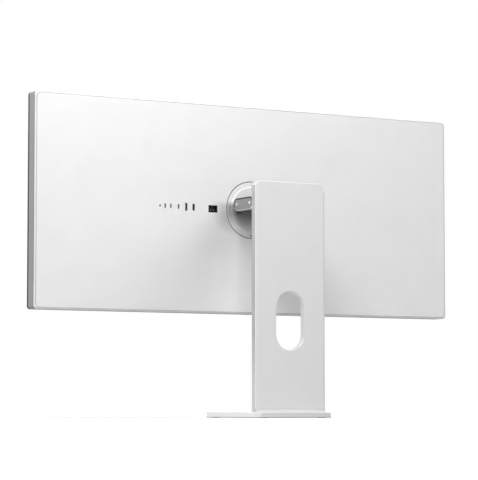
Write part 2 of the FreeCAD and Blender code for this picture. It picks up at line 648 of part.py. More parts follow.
def drum_pins():
    """Shouldered pins, pressed into the carriage, that the spools turn on."""
    pins = []
    for side, sign in SIDES.items():
        stem = new_cylinder(f"{side}_pin_stem", "drum_pin", "drum_length + drum_slack",
                            f"{sign}drum_x", CARRIAGE_BACK, "drum_z", along="y")
        head = new_cylinder(f"{side}_pin_head", "drum_cap", "drum_cap_thick", f"{sign}drum_x",
                            f"{CARRIAGE_BACK} + drum_length + drum_slack", "drum_z", along="y")
        pins.append(fuse(f"{side}_drum_pin", [stem, head]))
    group("drum_pins", pins)


# ---------------------------------------------------------------- arm and tilt joint
PIN_Y = "head_rear_y + pin_ahead"
ARM_LENGTH = f"column_y - column_thick / 2 - arm_rear_gap - ({PIN_Y})"
ARM_SCREWS = [(x, z) for x in ("stem_x", "-stem_x") for z in ("arm_screw_z", "-arm_screw_z")]


HOLLOW_FRONT = "fork_back + hollow_front"
HOLLOW_BACK = f"{ARM_LENGTH} - hollow_back"


def arm():
    """A flat cast bar with a round nose, forked at the front for the hub's lugs."""
    body = new_body("arm", y=PIN_Y, z="arm_z")
    side = new_sketch(body, "YZ")
    draw_slot(side, ("0", "0"), (f"{ARM_LENGTH} - arm_half", "0"), "arm_half")
    pad(body, side, "arm_width", both=True)
    rear = new_sketch(body, "YZ")
    draw_box(rear, f"{ARM_LENGTH} - arm_half", ARM_LENGTH, "-arm_half", "arm_half")
    pad(body, rear, "arm_width", both=True)
    back_edge = number(ARM_LENGTH) - 0.1
    soften(body, "arm_heel", runs_along("x", y_min=back_edge))
    rim = [lies_at("x", sign * number("arm_width") / 2) for sign in (1, -1)]
    soften(body, "arm_edge", lambda edge: any(test(edge) for test in rim))
    fork = new_sketch(body, "XY")
    draw_box(fork, "-fork_half", "fork_half", "-2 * arm_half", "fork_back")
    pocket(body, fork, "3 * arm_half", both=True)
    fork_end = number("fork_back")
    soften(body, "fork_corner", runs_along("z", y_min=fork_end - 0.1, y_max=fork_end + 0.1))
    hollow = new_sketch(body, "XY", "-arm_half")
    draw_box(hollow, "-fork_half", "fork_half", HOLLOW_FRONT, HOLLOW_BACK)
    pocket(body, hollow, "2 * arm_half - arm_roof", flip=True)
    soften(body, "hollow_corner", runs_along("z", y_min=number(HOLLOW_FRONT),
                                             y_max=number(HOLLOW_BACK)))
    mouth = new_sketch(body, "XY", "-arm_half")
    draw_box(mouth, "-fork_half - mouth_rim", "fork_half + mouth_rim",
             f"{HOLLOW_FRONT} - mouth_rim", f"{HOLLOW_BACK} + mouth_rim")
    pocket(body, mouth, "mouth_depth", flip=True)
    for sign in ("", "-"):
        seat = new_sketch(body, "YZ", f"{sign}arm_width / 2")
        draw_slot(seat, ("0", "0"), ("plate_pitch", "0"), "plate_radius")
        pocket(body, seat, "plate_thick", flip=sign == "-")
    bore = new_sketch(body, "YZ")
    draw_circle(bore, "0", "0", "pin_radius + fit_gap")
    pocket(body, bore, "arm_width", both=True)
    plate_holes = new_sketch(body, "YZ")
    draw_circle(plate_holes, "plate_pitch", "0", "plate_shank + fit_gap")
    pocket(body, plate_holes, "arm_width", both=True)
    screw_holes = new_sketch(body, "XZ", f"-({ARM_LENGTH})")
    for x, z in ARM_SCREWS:
        draw_circle(screw_holes, x, z, "arm_shank + fit_gap")
    pocket(body, screw_holes, "arm_grip + hole_spare", flip=True)


def arm_belly_cover():
    """The moulded lid that closes the arm's hollow from below."""
    body = new_body("arm_belly_cover", y=PIN_Y, z="arm_z - arm_half + belly_sink")
    lid, plug = new_sketch(body, "XY"), new_sketch(body, "XY", "belly_thick")
    rim = "mouth_rim - clear_gap"
    draw_box(lid, f"-fork_half - ({rim})", f"fork_half + {rim}",
             f"{HOLLOW_FRONT} - ({rim})", f"{HOLLOW_BACK} + {rim}")
    pad(body, lid, "belly_thick")
    draw_box(plug, "-fork_half + clear_gap", "fork_half - clear_gap",
             f"{HOLLOW_FRONT} + belly_plug_inset", f"{HOLLOW_BACK} - belly_plug_inset")
    pad(body, plug, "belly_plug")


def arm_plate(side, sign):
    """The thin plate let flush into one side of the arm."""
    start = "arm_width / 2 - plate_thick" if sign == "" else "-arm_width / 2 + plate_thick"
    body = new_body(f"{side}_arm_plate", y=PIN_Y, z="arm_z")
    outline = new_sketch(body, "YZ", start)
    draw_slot(outline, ("0", "0"), ("plate_pitch", "0"), "plate_radius - plate_gap")
    pad(body, outline, "plate_thick - plate_sink", flip=sign == "-")
    holes = new_sketch(body, "YZ")
    draw_circle(holes, "0", "0", "pin_eye")
    draw_circle(holes, "plate_pitch", "0", "plate_shank + clear_gap")
    pocket(body, holes, "2 * arm_width", both=True)
    soften(body, "seam_bevel", lies_at("x", number(f"{sign}(arm_width / 2 - plate_sink)")),
           bevel=True)


def arm_plate_screws():
    """Low domed screws at the rear of the side plates."""
    screws = []
    for side, sign in SIDES.items():
        face = f"{sign}(arm_width / 2 - plate_sink)"
        points = "-x" if sign == "" else "+x"
        screws.append(screw(f"{side}_plate_screw", "plate_head", "plate_head_height",
                            "plate_shank", "plate_grip", face, f"{PIN_Y} + plate_pitch",
                            "arm_z", points))
    group("arm_plate_screws", screws)


def arm_screws():
    """Four screws through the carriage's stems into the arm."""
    length = f"{CARRIAGE_BACK} - (column_y - column_thick / 2 - arm_rear_gap) + arm_grip"
    group("arm_screws",
          [screw(f"arm_screw_{i}", "arm_head", "arm_head_height", "arm_shank", length,
                 x, CARRIAGE_BACK, f"arm_z + {z}", "-y")
           for i, (x, z) in enumerate(ARM_SCREWS)])


def tilt_pin():
    """The shaft across the arm's fork; its domed ends show in the side plates."""
    body = new_body("tilt_pin", y=PIN_Y, z="arm_z")
    profile = new_sketch(body, "XY")
    inner, outer = "arm_width / 2 - plate_thick - plate_sink", "arm_width / 2 + pin_proud"
    draw_polygon(profile, [(f"-({outer})", "0"), (outer, "0"), (outer, "pin_neck"),
                           (inner, "pin_neck"), (inner, "pin_radius"),
                           (f"-({inner})", "pin_radius"), (f"-({inner})", "pin_neck"),
                           (f"-({outer})", "pin_neck")])
    revolve(body, profile, "H_Axis")
    tip = number(outer)
    soften(body, "pin_dome", lambda edge: lies_at("x", tip)(edge) or lies_at("x", -tip)(edge),
           bevel=True)


def friction_washers():
    """Stacks of spring washers between the fork and the lugs, which hold the tilt."""
    washers = []
    for side, sign in SIDES.items():
        start = "lug_outer + washer_gap" if sign == "" else "-fork_half + washer_gap"
        length = "fork_half - lug_outer - 2 * washer_gap"
        ring = new_cylinder(f"{side}_washer_rim", "washer_radius", length,
                            start, PIN_Y, "arm_z", along="x")
        eye = new_cylinder(f"{side}_washer_eye", "pin_radius + pin_clearance", length,
                           start, PIN_Y, "arm_z", along="x")
        cut = doc.addObject("Part::Cut", f"{side}_washer")
        cut.Base, cut.Tool = ring, eye
        washers.append(cut)
    group("friction_washers", washers)


# ---------------------------------------------------------------- hub
LUG_SPAN = "lug_outer - lug_thick"
HUB_BOLTS = [("hub_bolt_circle / 2", "0"), ("0", "hub_bolt_circle / 2"),
             ("-hub_bolt_circle / 2", "0"), ("0", "-hub_bolt_circle / 2")]
CUP_DEPTH = "hub_thick + socket_thick"
PIN_RISE = "arm_z - head_centre_z"


def hub():
    """The round casting that carries the head: a stepped disc with two lugs for the tilt pin."""
    body = head_body("hub")
    profile = new_sketch(body, "XY")
    draw_polygon(profile, [("0", "-hub_web"), ("hub_radius - hub_rim", "-hub_web"),
                           ("hub_radius - hub_rim", "-hub_thick"), ("hub_radius", "-hub_thick"),
                           ("hub_radius", "-hub_bevel"), ("hub_radius - hub_bevel", "0"),
                           ("hub_step_radius + hub_step", "0"), ("hub_step_radius", "hub_step"),
                           ("0", "hub_step")])
    revolve(body, profile)
    for start in (LUG_SPAN, "-lug_outer"):
        side = new_sketch(body, "YZ", start)
        draw_slot(side, ("0", PIN_RISE), ("pin_ahead", PIN_RISE), "lug_radius")
        pad(body, side, "lug_thick")
    heel_end = "pin_ahead - heel_short"
    for start in (LUG_SPAN, "-lug_outer"):
        heel = new_sketch(body, "YZ", start)
        draw_polygon(heel, [("0", f"{PIN_RISE} - lug_radius - heel_drop"),
                            (heel_end, f"{PIN_RISE} - lug_radius + heel_bite"),
                            (heel_end, PIN_RISE), ("0", PIN_RISE)])
        pad(body, heel, "lug_thick")
    bore = new_sketch(body, "YZ")
    draw_circle(bore, "pin_ahead", PIN_RISE, "pin_radius + pin_clearance")
    pocket(body, bore, "4 * lug_outer", both=True)
    trim = new_sketch(body, "XZ", "hub_web")
    draw_circle(trim, "0", "0", "hub_radius - hub_rim")
    pocket(body, trim, "lug_radius", flip=True)
    for radius, depth in (("lock_radius + lock_gap", "lock_sink"),
                          ("lock_shank + clear_gap", "hub_thick")):
        lock = new_sketch(body, "XZ")
        draw_circle(lock, "0", "-lock_drop", radius)
        pocket(body, lock, depth, flip=True)


def hub_socket():
    """The steel plate in the cover's cup that the hub locks on to."""
    body = head_body("hub_socket")
    disc = new_sketch(body, "XZ", "hub_thick")
    draw_circle(disc, "0", "0", "socket_radius")
    pad(body, disc, "socket_thick")
    holes = new_sketch(body, "XZ", "hub_thick")
    for x, z in HUB_BOLTS:
        draw_circle(holes, x, z, "hub_shank + clear_gap")
    draw_circle(holes, "0", "-lock_drop", "lock_shank + fit_gap")
    draw_circle(holes, "0", "0", "socket_eye")
    pocket(body, holes, "socket_thick", flip=True)


def hub_screws():
    face = "head_rear_y - hub_thick"
    group("hub_screws",
          [screw(f"hub_screw_{i}", "hub_head", "hub_head_height", "hub_shank", "hub_grip",
                 x, face, f"head_centre_z + {z}", "-y") for i, (x, z) in enumerate(HUB_BOLTS)])


def hub_lock_screw():
    """The captive screw at six o'clock, sunk in the hub's rim."""
    seat, height = "head_rear_y - lock_sink", "head_centre_z - lock_drop"
    lock = screw("lock_screw", "lock_radius", "lock_head_height", "lock_shank", "lock_grip",
                 "0", seat, height, "-y")
    socket = new_cylinder("lock_screw_hex", "lock_hex", "lock_hex_depth", "0",
                          f"{seat} + lock_head_height - lock_hex_depth", height, along="y")
    cut = doc.addObject("Part::Cut", "hub_lock_screw")
    cut.Base, cut.Tool = lock, socket
    keep(cut, "hub_lock_screw")


def hub_posts():
    """Four steel posts that carry the hub's load through to the chassis."""
    posts = []
    length = f"chassis_back - ({CUP_DEPTH}) - cup_floor"
    for i, (x, z) in enumerate(HUB_BOLTS):
        spot = (x, "head_rear_y - chassis_back", f"head_centre_z + {z}")
        post = new_cylinder(f"post_{i}_bar", "post_radius", length, *spot, along="y")
        bore = new_cylinder(f"post_{i}_bore", "hub_shank + fit_gap", length, *spot, along="y")
        cut = doc.addObject("Part::Cut", f"post_{i}")
        cut.Base, cut.Tool = post, bore
        posts.append(cut)
    group("hub_posts", posts)


# ---------------------------------------------------------------- casing of the head
BOSSES = ([(x, z) for z in ("boss_z", "-boss_z") for x in ("-2 * boss_pitch", "-boss_pitch",
           "boss_pitch", "2 * boss_pitch")] + [("boss_x", "0"), ("-boss_x", "0")])


RIB_SPOTS = [f"{step} * rib_pitch" for step in (-4, -3, -2, -1, 3, 4)]


def rear_cover():
    """The pan that closes the back: a rounded lip, a skirt inside the frame, the hub's cup."""
    body = head_body("rear_cover")
    pad(body, draw_middle_box(new_sketch(body, "XZ"), "head_width", "head_height"),
        "lip_depth")
    soften(body, "head_corner", runs_along("y"))
    soften(body, "rear_round", lies_at("y", 0))
    soften(body, "seam_bevel", lies_at("y", -number("lip_depth")), bevel=True)
    skirt, inside = (new_sketch(body, "XZ", offset) for offset in ("lip_depth", "cover_depth"))
    inset = "frame_wall + skirt_gap"
    for outline, edge in ((skirt, inset), (inside, f"{inset} + shell_wall")):
        draw_middle_box(outline, f"head_width - 2 * ({edge})", f"head_height - 2 * ({edge})")
    pad(body, skirt, "cover_depth - lip_depth - skirt_gap")
    soften(body, f"head_corner - {inset}", runs_along("y", y_max=-number("lip_depth")))
    pocket(body, inside, "cover_depth - shell_wall")
    ribs = new_sketch(body, "XZ", "shell_wall")
    for x in RIB_SPOTS:
        draw_box(ribs, f"{x} - rib_width / 2", f"{x} + rib_width / 2",
                 "-head_height / 2 + rib_inset", "head_height / 2 - rib_inset")
    pad(body, ribs, "rib_height")
    bosses, pilots = (new_sketch(body, "XZ", offset) for offset in ("shell_wall", "cover_depth"))
    for x, z in BOSSES:
        draw_circle(bosses, x, z, "boss_radius")
        draw_circle(pilots, x, z, "cover_shank + thread_gap")
    pad(body, bosses, "cover_depth - shell_wall")
    pocket(body, pilots, "cover_depth - 3 * shell_wall / 2")
    cup = new_sketch(body, "XZ", "shell_wall / 2")
    draw_circle(cup, "0", "0", "hub_radius + hub_gap + cup_wall")
    pad(body, cup, f"{CUP_DEPTH} + cup_floor - shell_wall / 2")
    well = new_sketch(body, "XZ")
    draw_circle(well, "0", "0", "hub_radius + hub_gap")
    pocket(body, well, CUP_DEPTH, flip=True)
    floor_holes = new_sketch(body, "XZ")
    for x, z in HUB_BOLTS:
        draw_circle(floor_holes, x, z, "hub_shank + clear_gap")
    draw_circle(floor_holes, "0", "-lock_drop", "lock_shank + clear_gap")
    pocket(body, floor_holes, "cover_depth", flip=True)
    sockets = new_sketch(body, "XZ")
    draw_circle(sockets, "jack_x", "0", "jack_bore + jack_gap")
    for x in USB_C.values():
        draw_slot(sockets, (x, "(usbc_width - usbc_height) / 2"),
                  (x, "(usbc_height - usbc_width) / 2"), "usbc_width / 2 + socket_gap")
    for x, z, width, height, gap in (
            ("hdmi_x", "0", "hdmi_width", "hdmi_height", "socket_gap"),
            ("usba_x", "0", "usba_width", "usba_height", "socket_gap"),
            ("inlet_x", "inlet_z", "inlet_width", "inlet_height", "inlet_gap")):
        draw_box(sockets, f"{x} - {width} / 2 - {gap}", f"{x} + {width} / 2 + {gap}",
                 f"{z} - {height} / 2 - {gap}", f"{z} + {height} / 2 + {gap}")
    pocket(body, sockets, "2 * shell_wall", flip=True)


def tab_ends(boss, size):
    """The low and high ends of a tab that runs from a boss into the band's wall."""
    wall = f"{size} / 2 - frame_wall / 2"
    return (f"-({wall})", f"{boss} + tab_reach") if boss[0] == "-" else (
        f"{boss} - tab_reach", wall)


def middle_frame():
    """The band round the head: it joins the cover and the bezel and holds the chassis."""
    body = head_body("middle_frame")
    band = new_sketch(body, "XZ", "lip_depth")
    draw_middle_box(band, "head_width", "head_height")
    pad(body, band, "head_depth - bezel_depth - lip_depth")
    soften(body, "head_corner", runs_along("y"))
    soften(body, "seam_bevel", lies_at("y", -number("lip_depth")), bevel=True)
    inside = new_sketch(body, "XZ", "lip_depth")
    draw_middle_box(inside, "head_width - 2 * frame_wall", "head_height - 2 * frame_wall")
    pocket(body, inside, "head_depth", flip=True)
    ledge = new_sketch(body, "XZ", "chassis_back - ledge_thick")
    draw_middle_box(ledge, "head_width - frame_wall", "head_height - frame_wall")
    draw_middle_box(ledge, "head_width - 2 * frame_wall - 2 * ledge_width",
                    "head_height - 2 * frame_wall - 2 * ledge_width")
    pad(body, ledge, "ledge_thick")
    tabs, tab_holes = (new_sketch(body, "XZ", "cover_depth") for _ in range(2))
    for x, z in BOSSES:
        if z != "0":
            draw_box(tabs, f"{x} - tab_half", f"{x} + tab_half", *tab_ends(z, "head_height"))
        else:
            draw_box(tabs, *tab_ends(x, "head_width"), "-tab_half", "tab_half")
        draw_circle(tab_holes, x, z, "cover_shank + clear_gap")
    pad(body, tabs, "tab_thick")
    pocket(body, tab_holes, "2 * tab_thick", flip=True)
    vents = new_sketch(body, "XY")
    run = f"{VENTS_A_SIDE - 1} * vent_pitch"
    for first in ("vent_start", f"-vent_start - {run}"):
        draw_box(vents, f"{first} - vent_width / 2", f"{first} + vent_width / 2",
                 "-cover_depth - vent_far", "-cover_depth - vent_near")
    vent = pocket(body, vents, "2 * head_height", both=True)
    repeat_along(body, vent, vents, run, VENTS_A_SIDE)
    key_hole = new_sketch(body, "XY", "-head_height / 2")
    draw_box(key_hole, "-button_length / 2 - button_gap", "button_length / 2 + button_gap",
             "button_y - button_width / 2 - button_gap", "button_y + button_width / 2 + button_gap")
    pocket(body, key_hole, "2 * frame_wall", flip=True)
    posts = new_sketch(body, "XY", "-head_height / 2 + frame_wall")
    for x in ("-button_post_x", "button_post_x"):
        draw_box(posts, f"{x} - button_post_half", f"{x} + button_post_half",
                 "button_y - button_post_half", "button_y + button_post_half")
    pad(body, posts, "button_post_height")


def cover_screws():
    """Ten screws through the frame's tabs into the cover's bosses."""
    face = "head_rear_y - cover_depth - tab_thick"
    group("cover_screws",
          [screw(f"cover_screw_{i}", "cover_head", "cover_head_height", "cover_shank",
                 "cover_grip", x, face, f"head_centre_z + {z}")
           for i, (x, z) in enumerate(BOSSES)])


def front_bezel():
    """The thin frame round the screen, deeper along the chin."""
    body = head_body("front_bezel")
    ring = new_sketch(body, "XZ", "head_depth - bezel_depth")
    draw_middle_box(ring, "head_width", "head_height")
    pad(body, ring, "bezel_depth")
    soften(body, "head_corner", runs_along("y"))
    soften(body, "front_round", lies_at("y", -number("head_depth")))
    window = new_sketch(body, "XZ", "head_depth - bezel_depth")
    draw_box(window, "-head_width / 2 + border", "head_width / 2 - border",
             "-head_height / 2 + chin_height", "head_height / 2 - border")
    pocket(body, window, "bezel_depth", flip=True)


# ---------------------------------------------------------------- screen module
def layer(label, front, thick, inset):
    """One flat sheet of the screen module; inset is its gap to the bezel's window."""
    body = head_body(label)
    sheet_outline = new_sketch(body, "XZ", f"{front} - ({thick})")
    draw_box(sheet_outline, f"-head_width / 2 + border + {inset}",
             f"head_width / 2 - border - {inset}",
             f"-head_height / 2 + chin_height + {inset}", f"head_height / 2 - border - {inset}")
    pad(body, sheet_outline, thick)


def screen_layers():
    front = "panel_front"
    for label, thick, inset in (("lcd_panel", "panel_thick", "panel_inset"),
                                ("film_stack", "film_thick", "module_margin"),
                                ("light_guide", "guide_thick", "module_margin"),
                                ("reflector_sheet", "reflector_thick", "module_margin")):
        layer(label, front, thick, inset)
        front = f"{front} - {thick}"


def panel_chassis():
    """The pressed steel tray behind the light guide, stiffened by shallow swages."""
    body = head_body("panel_chassis")
    tray, inside = (new_sketch(body, "XZ", depth) for depth in ("chassis_back", "chassis_front"))
    for outline, wall in ((tray, "0"), (inside, "chassis_wall")):
        side = f"head_width / 2 - border - chassis_side - {wall}"
        draw_box(outline, f"-({side})", side,
                 f"-head_height / 2 + frame_wall + chassis_top + {wall}",
                 f"head_height / 2 - border - chassis_top - {wall}")
    pad(body, tray, "chassis_front - chassis_back")
    soften(body, "chassis_corner", runs_along("y"))
    pocket(body, inside, "chassis_front - chassis_back - chassis_thick")
    swages = new_sketch(body, "XZ", "chassis_back")
    for sign in ("", "-"):
        for i in (1, 2):
            z = f"{sign}(swage_pitch * {i} - swage_pitch / 2)"
            for side in ("", "-"):
                near, far = (f"{side}swage_near", f"{side}swage_far")
                left, right = (near, far) if side == "" else (far, near)
                draw_box(swages, left, right, f"{z} - swage_half", f"{z} + swage_half")
    pocket(body, swages, "swage_depth", flip=True)


def led_bar():
    """The strip of lamps that lights the guide's lower edge."""
    body = head_body("led_bar")
    guide_edge = "-head_height / 2 + chin_height + module_margin"
    strip, lamps = (new_sketch(body, "XY", f"{guide_edge} - {gap}")
                    for gap in ("2 * led_gap", "led_gap"))
    draw_box(strip, "-led_half", "led_half", "-chassis_front + led_edge",
             "-chassis_back - chassis_thick")
    pad(body, strip, "led_gap")
    run = f"{LAMPS - 1} * led_pitch"
    draw_box(lamps, f"-({run}) / 2 - led_half_width", f"-({run}) / 2 + led_half_width",
             "-chassis_front + led_inset", "-chassis_back - chassis_thick - led_inset")
    lamp = pad(body, lamps, "led_height")
    repeat_along(body, lamp, lamps, run, LAMPS, +1)


# ---------------------------------------------------------------- electronics and sockets
def port(label, x, width, height, tongue, shift="0", rounded=False):
    """A socket shell with a tongue inside, standing on the I/O board; its mouth faces +Y."""
    body = new_body(label, x=x, y="head_rear_y - socket_sink", z="head_centre_z")
    outer = new_sketch(body, "XZ")
    cavity = new_sketch(body, "XZ")
    if rounded:
        for outline, wall in ((outer, "0"), (cavity, "socket_wall")):
            draw_slot(outline, ("0", f"({width} - {height}) / 2"),
                      ("0", f"({height} - {width}) / 2"), f"{width} / 2 - {wall}")
    else:
        draw_middle_box(outer, width, height)
        draw_middle_box(cavity, f"{width} - 2 * socket_wall", f"{height} - 2 * socket_wall")
    pad(body, outer, "socket_depth")
    if not rounded:
        soften(body, "socket_corner", runs_along("y"))
    pocket(body, cavity, "socket_depth - socket_back", flip=True)
    blade = new_sketch(body, "XZ", "socket_depth - socket_back + tongue_root")
    draw_box(blade, f"{shift} - {tongue} / 2", f"{shift} + {tongue} / 2",
             f"-{tongue}_tall / 2", f"{tongue}_tall / 2")
    pad(body, blade, "socket_depth - socket_back + tongue_root - tongue_sink", flip=True)


def headphone_jack():
    """A round socket behind the cover, on a moulded block."""
    body = new_body("headphone_jack", x="jack_x", y="head_rear_y - shell_wall",
                    z="head_centre_z")
    block, barrel = new_sketch(body, "XZ", "jack_nose"), new_sketch(body, "XZ")
    draw_middle_box(block, "jack_block_width", "jack_block_height")
    draw_circle(barrel, "0", "0", "jack_barrel")
    pad(body, barrel, "2 * jack_nose")
    pad(body, block, "socket_depth + socket_sink - shell_wall - jack_nose")
    bore = new_sketch(body, "XZ")
    draw_circle(bore, "0", "0", "jack_bore")
    pocket(body, bore, "jack_depth", flip=True)


def ac_inlet():
    """A moulded three-pin appliance inlet, snapped into the cover from behind."""
    body = new_body("ac_inlet", x="inlet_x", y="head_rear_y", z="head_centre_z + inlet_z")
    outer = new_sketch(body, "XZ", "inlet_sink")
    draw_middle_box(outer, "inlet_width - inlet_gap", "inlet_height - inlet_gap")
    pad(body, outer, "inlet_depth")
    soften(body, "inlet_corner", runs_along("y"))
    flange = new_sketch(body, "XZ", "shell_wall")
    draw_middle_box(flange, "inlet_width + 2 * inlet_flange", "inlet_height + 2 * inlet_flange")
    pad(body, flange, "inlet_flange_thick")
    cavity = new_sketch(body, "XZ", "inlet_sink")
    draw_middle_box(cavity, "inlet_width - 2 * inlet_wall", "inlet_height - 2 * inlet_wall")
    pocket(body, cavity, "inlet_cavity", flip=True)
    holes = new_sketch(body, "XZ", "inlet_sink")
    for x, z in INLET_PINS:
        draw_circle(holes, x, z, "inlet_pin + fit_gap")
    pocket(body, holes, "2 * inlet_depth", flip=True)


def inlet_pins():
    tail = "head_rear_y - inlet_sink - inlet_depth - inlet_tail"
    length = "inlet_depth + inlet_tail - inlet_pin_sink"
    group("inlet_pins",
          [new_cylinder(f"inlet_pin_{i}", "inlet_pin", length, f"inlet_x + {x}", tail,
                        f"head_centre_z + inlet_z + {z}", along="y")
           for i, (x, z) in enumerate(INLET_PINS)])


# The boards' layout, in mm from the middle of the head's rear face. An outline is left, right,
# low, high; a block is x, z, width, height and how tall it stands; a can is x, z, radius, length.
BOARDS = {
    "main_board": {
        "outline": (105, 262, -72, 16),
        "blocks": {"heatsink_base": (165, -40, 44, 44, 2),
                   **{f"heatsink_fin_{i}": (147 + 6 * i, -40, 1.4, 44, 8) for i in range(7)},
                   "memory_high": (203, -16, 9, 12, 1.2), "memory_low": (203, -32, 9, 12, 1.2),
                   "flash_chip": (128, -52, 8, 6, 1.5), "choke": (228, -20, 10, 10, 4.5),
                   "panel_socket": (133, -66, 32, 5, 3),
                   "link_socket": (168, 8, 60, 6, "main_back - io_back - board_thick")},
        "cans": {"bulk_high": (240, -46, 4, 9), "bulk_low": (240, -58, 4, 9)},
    },
    "power_board": {
        "outline": (-72, 100, -158, -78),
        "blocks": {"transformer_core": (0, -118, 36, 30, 12),
                   "transformer_coil": (0, -118, 24, 38, 10),
                   "line_filter": (74, -96, 22, 20, 13),
                   "upright_heatsink": (-30, -118, 3, 56, 14), "bridge": (70, -120, 20, 4, 10),
                   "mains_header": (88, -82, 16, 6, 6), "lamp_driver": (-56, -142, 20, 14, 5)},
        "cans": {"reservoir": (44, -112, 8, 14),
                 **{f"output_{i}": (-48 - 12 * (i % 2), -96 - 14 * (i // 2), 5, 12)
                    for i in range(4)}},
    },
    "timing_board": {
        "outline": (-250, -90, -192, -166),
        "blocks": {f"driver_{i}": (-230 + 60 * i, -180, 18, 8, 1.2) for i in range(3)},
        "cans": {},
    },
    "io_board": {"outline": (118, 218, -16, 28), "blocks": {}, "cans": {}},
}
BOARD_BACKS = {"io_board": "io_back"}               # the others stand at main_back
PILLARS = {"main_back": [(110, -67), (257, -67), (110, 4), (257, 4), (-67, -153), (95, -153),
                         (-67, -83), (20, -83), (-245, -170), (-95, -170)],
           "io_back": [(122, 24), (214, 24)]}
RIBBON = [(118, -72), (146, -72), (146, -190), (-88, -190), (-88, -170), (118, -170)]


def circuit_board(label):
    """A bare board with the blocks and cans that stand on its rear face, towards the cover."""
    layout, back = BOARDS[label], BOARD_BACKS.get(label, "main_back")
    left, right, low, high = layout["outline"]
    deck = f"head_rear_y - {back}"
    parts = [new_box(f"{label}_blank", f"{right - left}", "board_thick", f"{high - low}",
                     f"{left}", f"{deck} - board_thick", f"head_centre_z + {low}")]
    parts += [new_box(name, f"{width}", f"{tall}", f"{height}", f"{x - width / 2}", deck,
                      f"head_centre_z + {z - height / 2}")
              for name, (x, z, width, height, tall) in layout["blocks"].items()]
    parts += [new_cylinder(name, f"{radius}", f"{length}", f"{x}", deck,
                           f"head_centre_z + {z}", along="y")
              for name, (x, z, radius, length) in layout["cans"].items()]
    keep(fuse(label, parts) if len(parts) > 1 else parts[0], label)


def board_standoffs():
    """Hexagonal pillars that hold the boards off the chassis."""
    pillars = []
    for back, spots in PILLARS.items():
        for i, (x, z) in enumerate(spots):
            pillar = doc.addObject("Part::Prism", f"{back}_pillar_{i}")
            pillar.Polygon = 6
            pillar.setExpression("Circumradius", linked("pillar_radius"))
            pillar.setExpression("Height", linked(f"chassis_back - {back} - board_thick"))
            pillar.Placement.Rotation = FreeCAD.Rotation(FreeCAD.Vector(1, 0, 0), -90)
            place(pillar, f"{x}", "head_rear_y - chassis_back", f"head_centre_z + {z}")
            pillars.append(pillar)
    group("board_standoffs", pillars)


def panel_ribbon():
    """The flat ribbon that runs behind the boards from the main board to the timing board."""
    body = head_body("panel_ribbon")
    run = new_sketch(body, "XZ", "chassis_back - ribbon_thick")
    draw_polygon(run, [(f"{x}", f"{z}") for x, z in RIBBON])
    pad(body, run, "ribbon_thick")
    soften(body, "ribbon_corner", runs_along("y"))


def inlet_leads():
    """Three insulated leads straight down from the inlet to the power board's header."""
    length = "inlet_z - (inlet_height - inlet_gap) / 2 - lead_low"
    group("inlet_leads",
          [new_cylinder(f"lead_{i}", "lead_radius", length, f"inlet_x + {x}",
                        "head_rear_y - inlet_depth + lead_in", "head_centre_z + lead_low")
           for i, x in enumerate(("-lead_pitch", "0", "lead_pitch"))])


# ---------------------------------------------------------------- power button
def power_button():
    """A moulded key in the middle of the underside, kept in by its flange."""
    body = new_body("power_button", y="head_rear_y + button_y",
                    z="head_centre_z - head_height / 2")
    stem = new_sketch(body, "XY", "-button_proud")
    draw_middle_box(stem, "button_length", "button_width")
    pad(body, stem, "button_proud + frame_wall + button_slack")
    soften(body, "button_width / 2 - button_slack", runs_along("z"))
    soften(body, "button_round", lies_at("z", -number("button_proud")), bevel=True)
    flange = new_sketch(body, "XY", "frame_wall + button_slack")
    draw_middle_box(flange, "button_length + 2 * button_flange",
                    "button_width + 2 * button_flange_side")
    pad(body, flange, "button_flange_thick")


def button_board():
    """A small board over the key, with the switch that the key presses."""
    low = "head_centre_z - head_height / 2 + frame_wall + button_post_height"
    middle = "head_rear_y + button_y"
    parts = [new_box("button_blank", "2 * button_board_half", "button_board_depth",
                     "button_board_thick", "-button_board_half",
                     f"{middle} - button_board_depth / 2", low),
             new_box("switch_case", "switch_side", "switch_side", "switch_height",
                     "-switch_side / 2", f"{middle} - switch_side / 2",
                     f"{low} - switch_height"),
             new_cylinder("switch_plunger", "plunger_radius", "plunger_height", "0", middle,
                          f"{low} - switch_height - plunger_height")]
    keep(fuse("button_board", parts), "button_board")


# ---------------------------------------------------------------- build, check and write
for build in (base_plate, rubber_feet, base_screws, column, well_lid, well_lid_screws,
              rail_screws, carriage, glide_shoes, spring_anchors, drum_pins,
              arm, arm_belly_cover, arm_plate_screws, arm_screws, tilt_pin, friction_washers,
              hub, hub_socket, hub_screws, hub_lock_screw, hub_posts,
              rear_cover, middle_frame, cover_screws, front_bezel,
              screen_layers, panel_chassis, led_bar,
              headphone_jack, ac_inlet, inlet_pins, board_standoffs, panel_ribbon, inlet_leads,
              power_button, button_board):
    build()
for label in BOARDS:
    circuit_board(label)
for side, sign in SIDES.items():
    for build in (guide_rail, spring_spool, spring_coil, spring_strip, arm_plate):
        build(side, sign)
for label, x in USB_C.items():
    port(label, x, "usbc_width", "usbc_height", "usbc_tongue", rounded=True)
port("hdmi_port", "hdmi_x", "hdmi_width", "hdmi_height", "hdmi_tongue")
port("usb_a_port", "usba_x", "usba_width", "usba_height", "usba_tongue", "usba_tongue_shift")
doc.recompute()

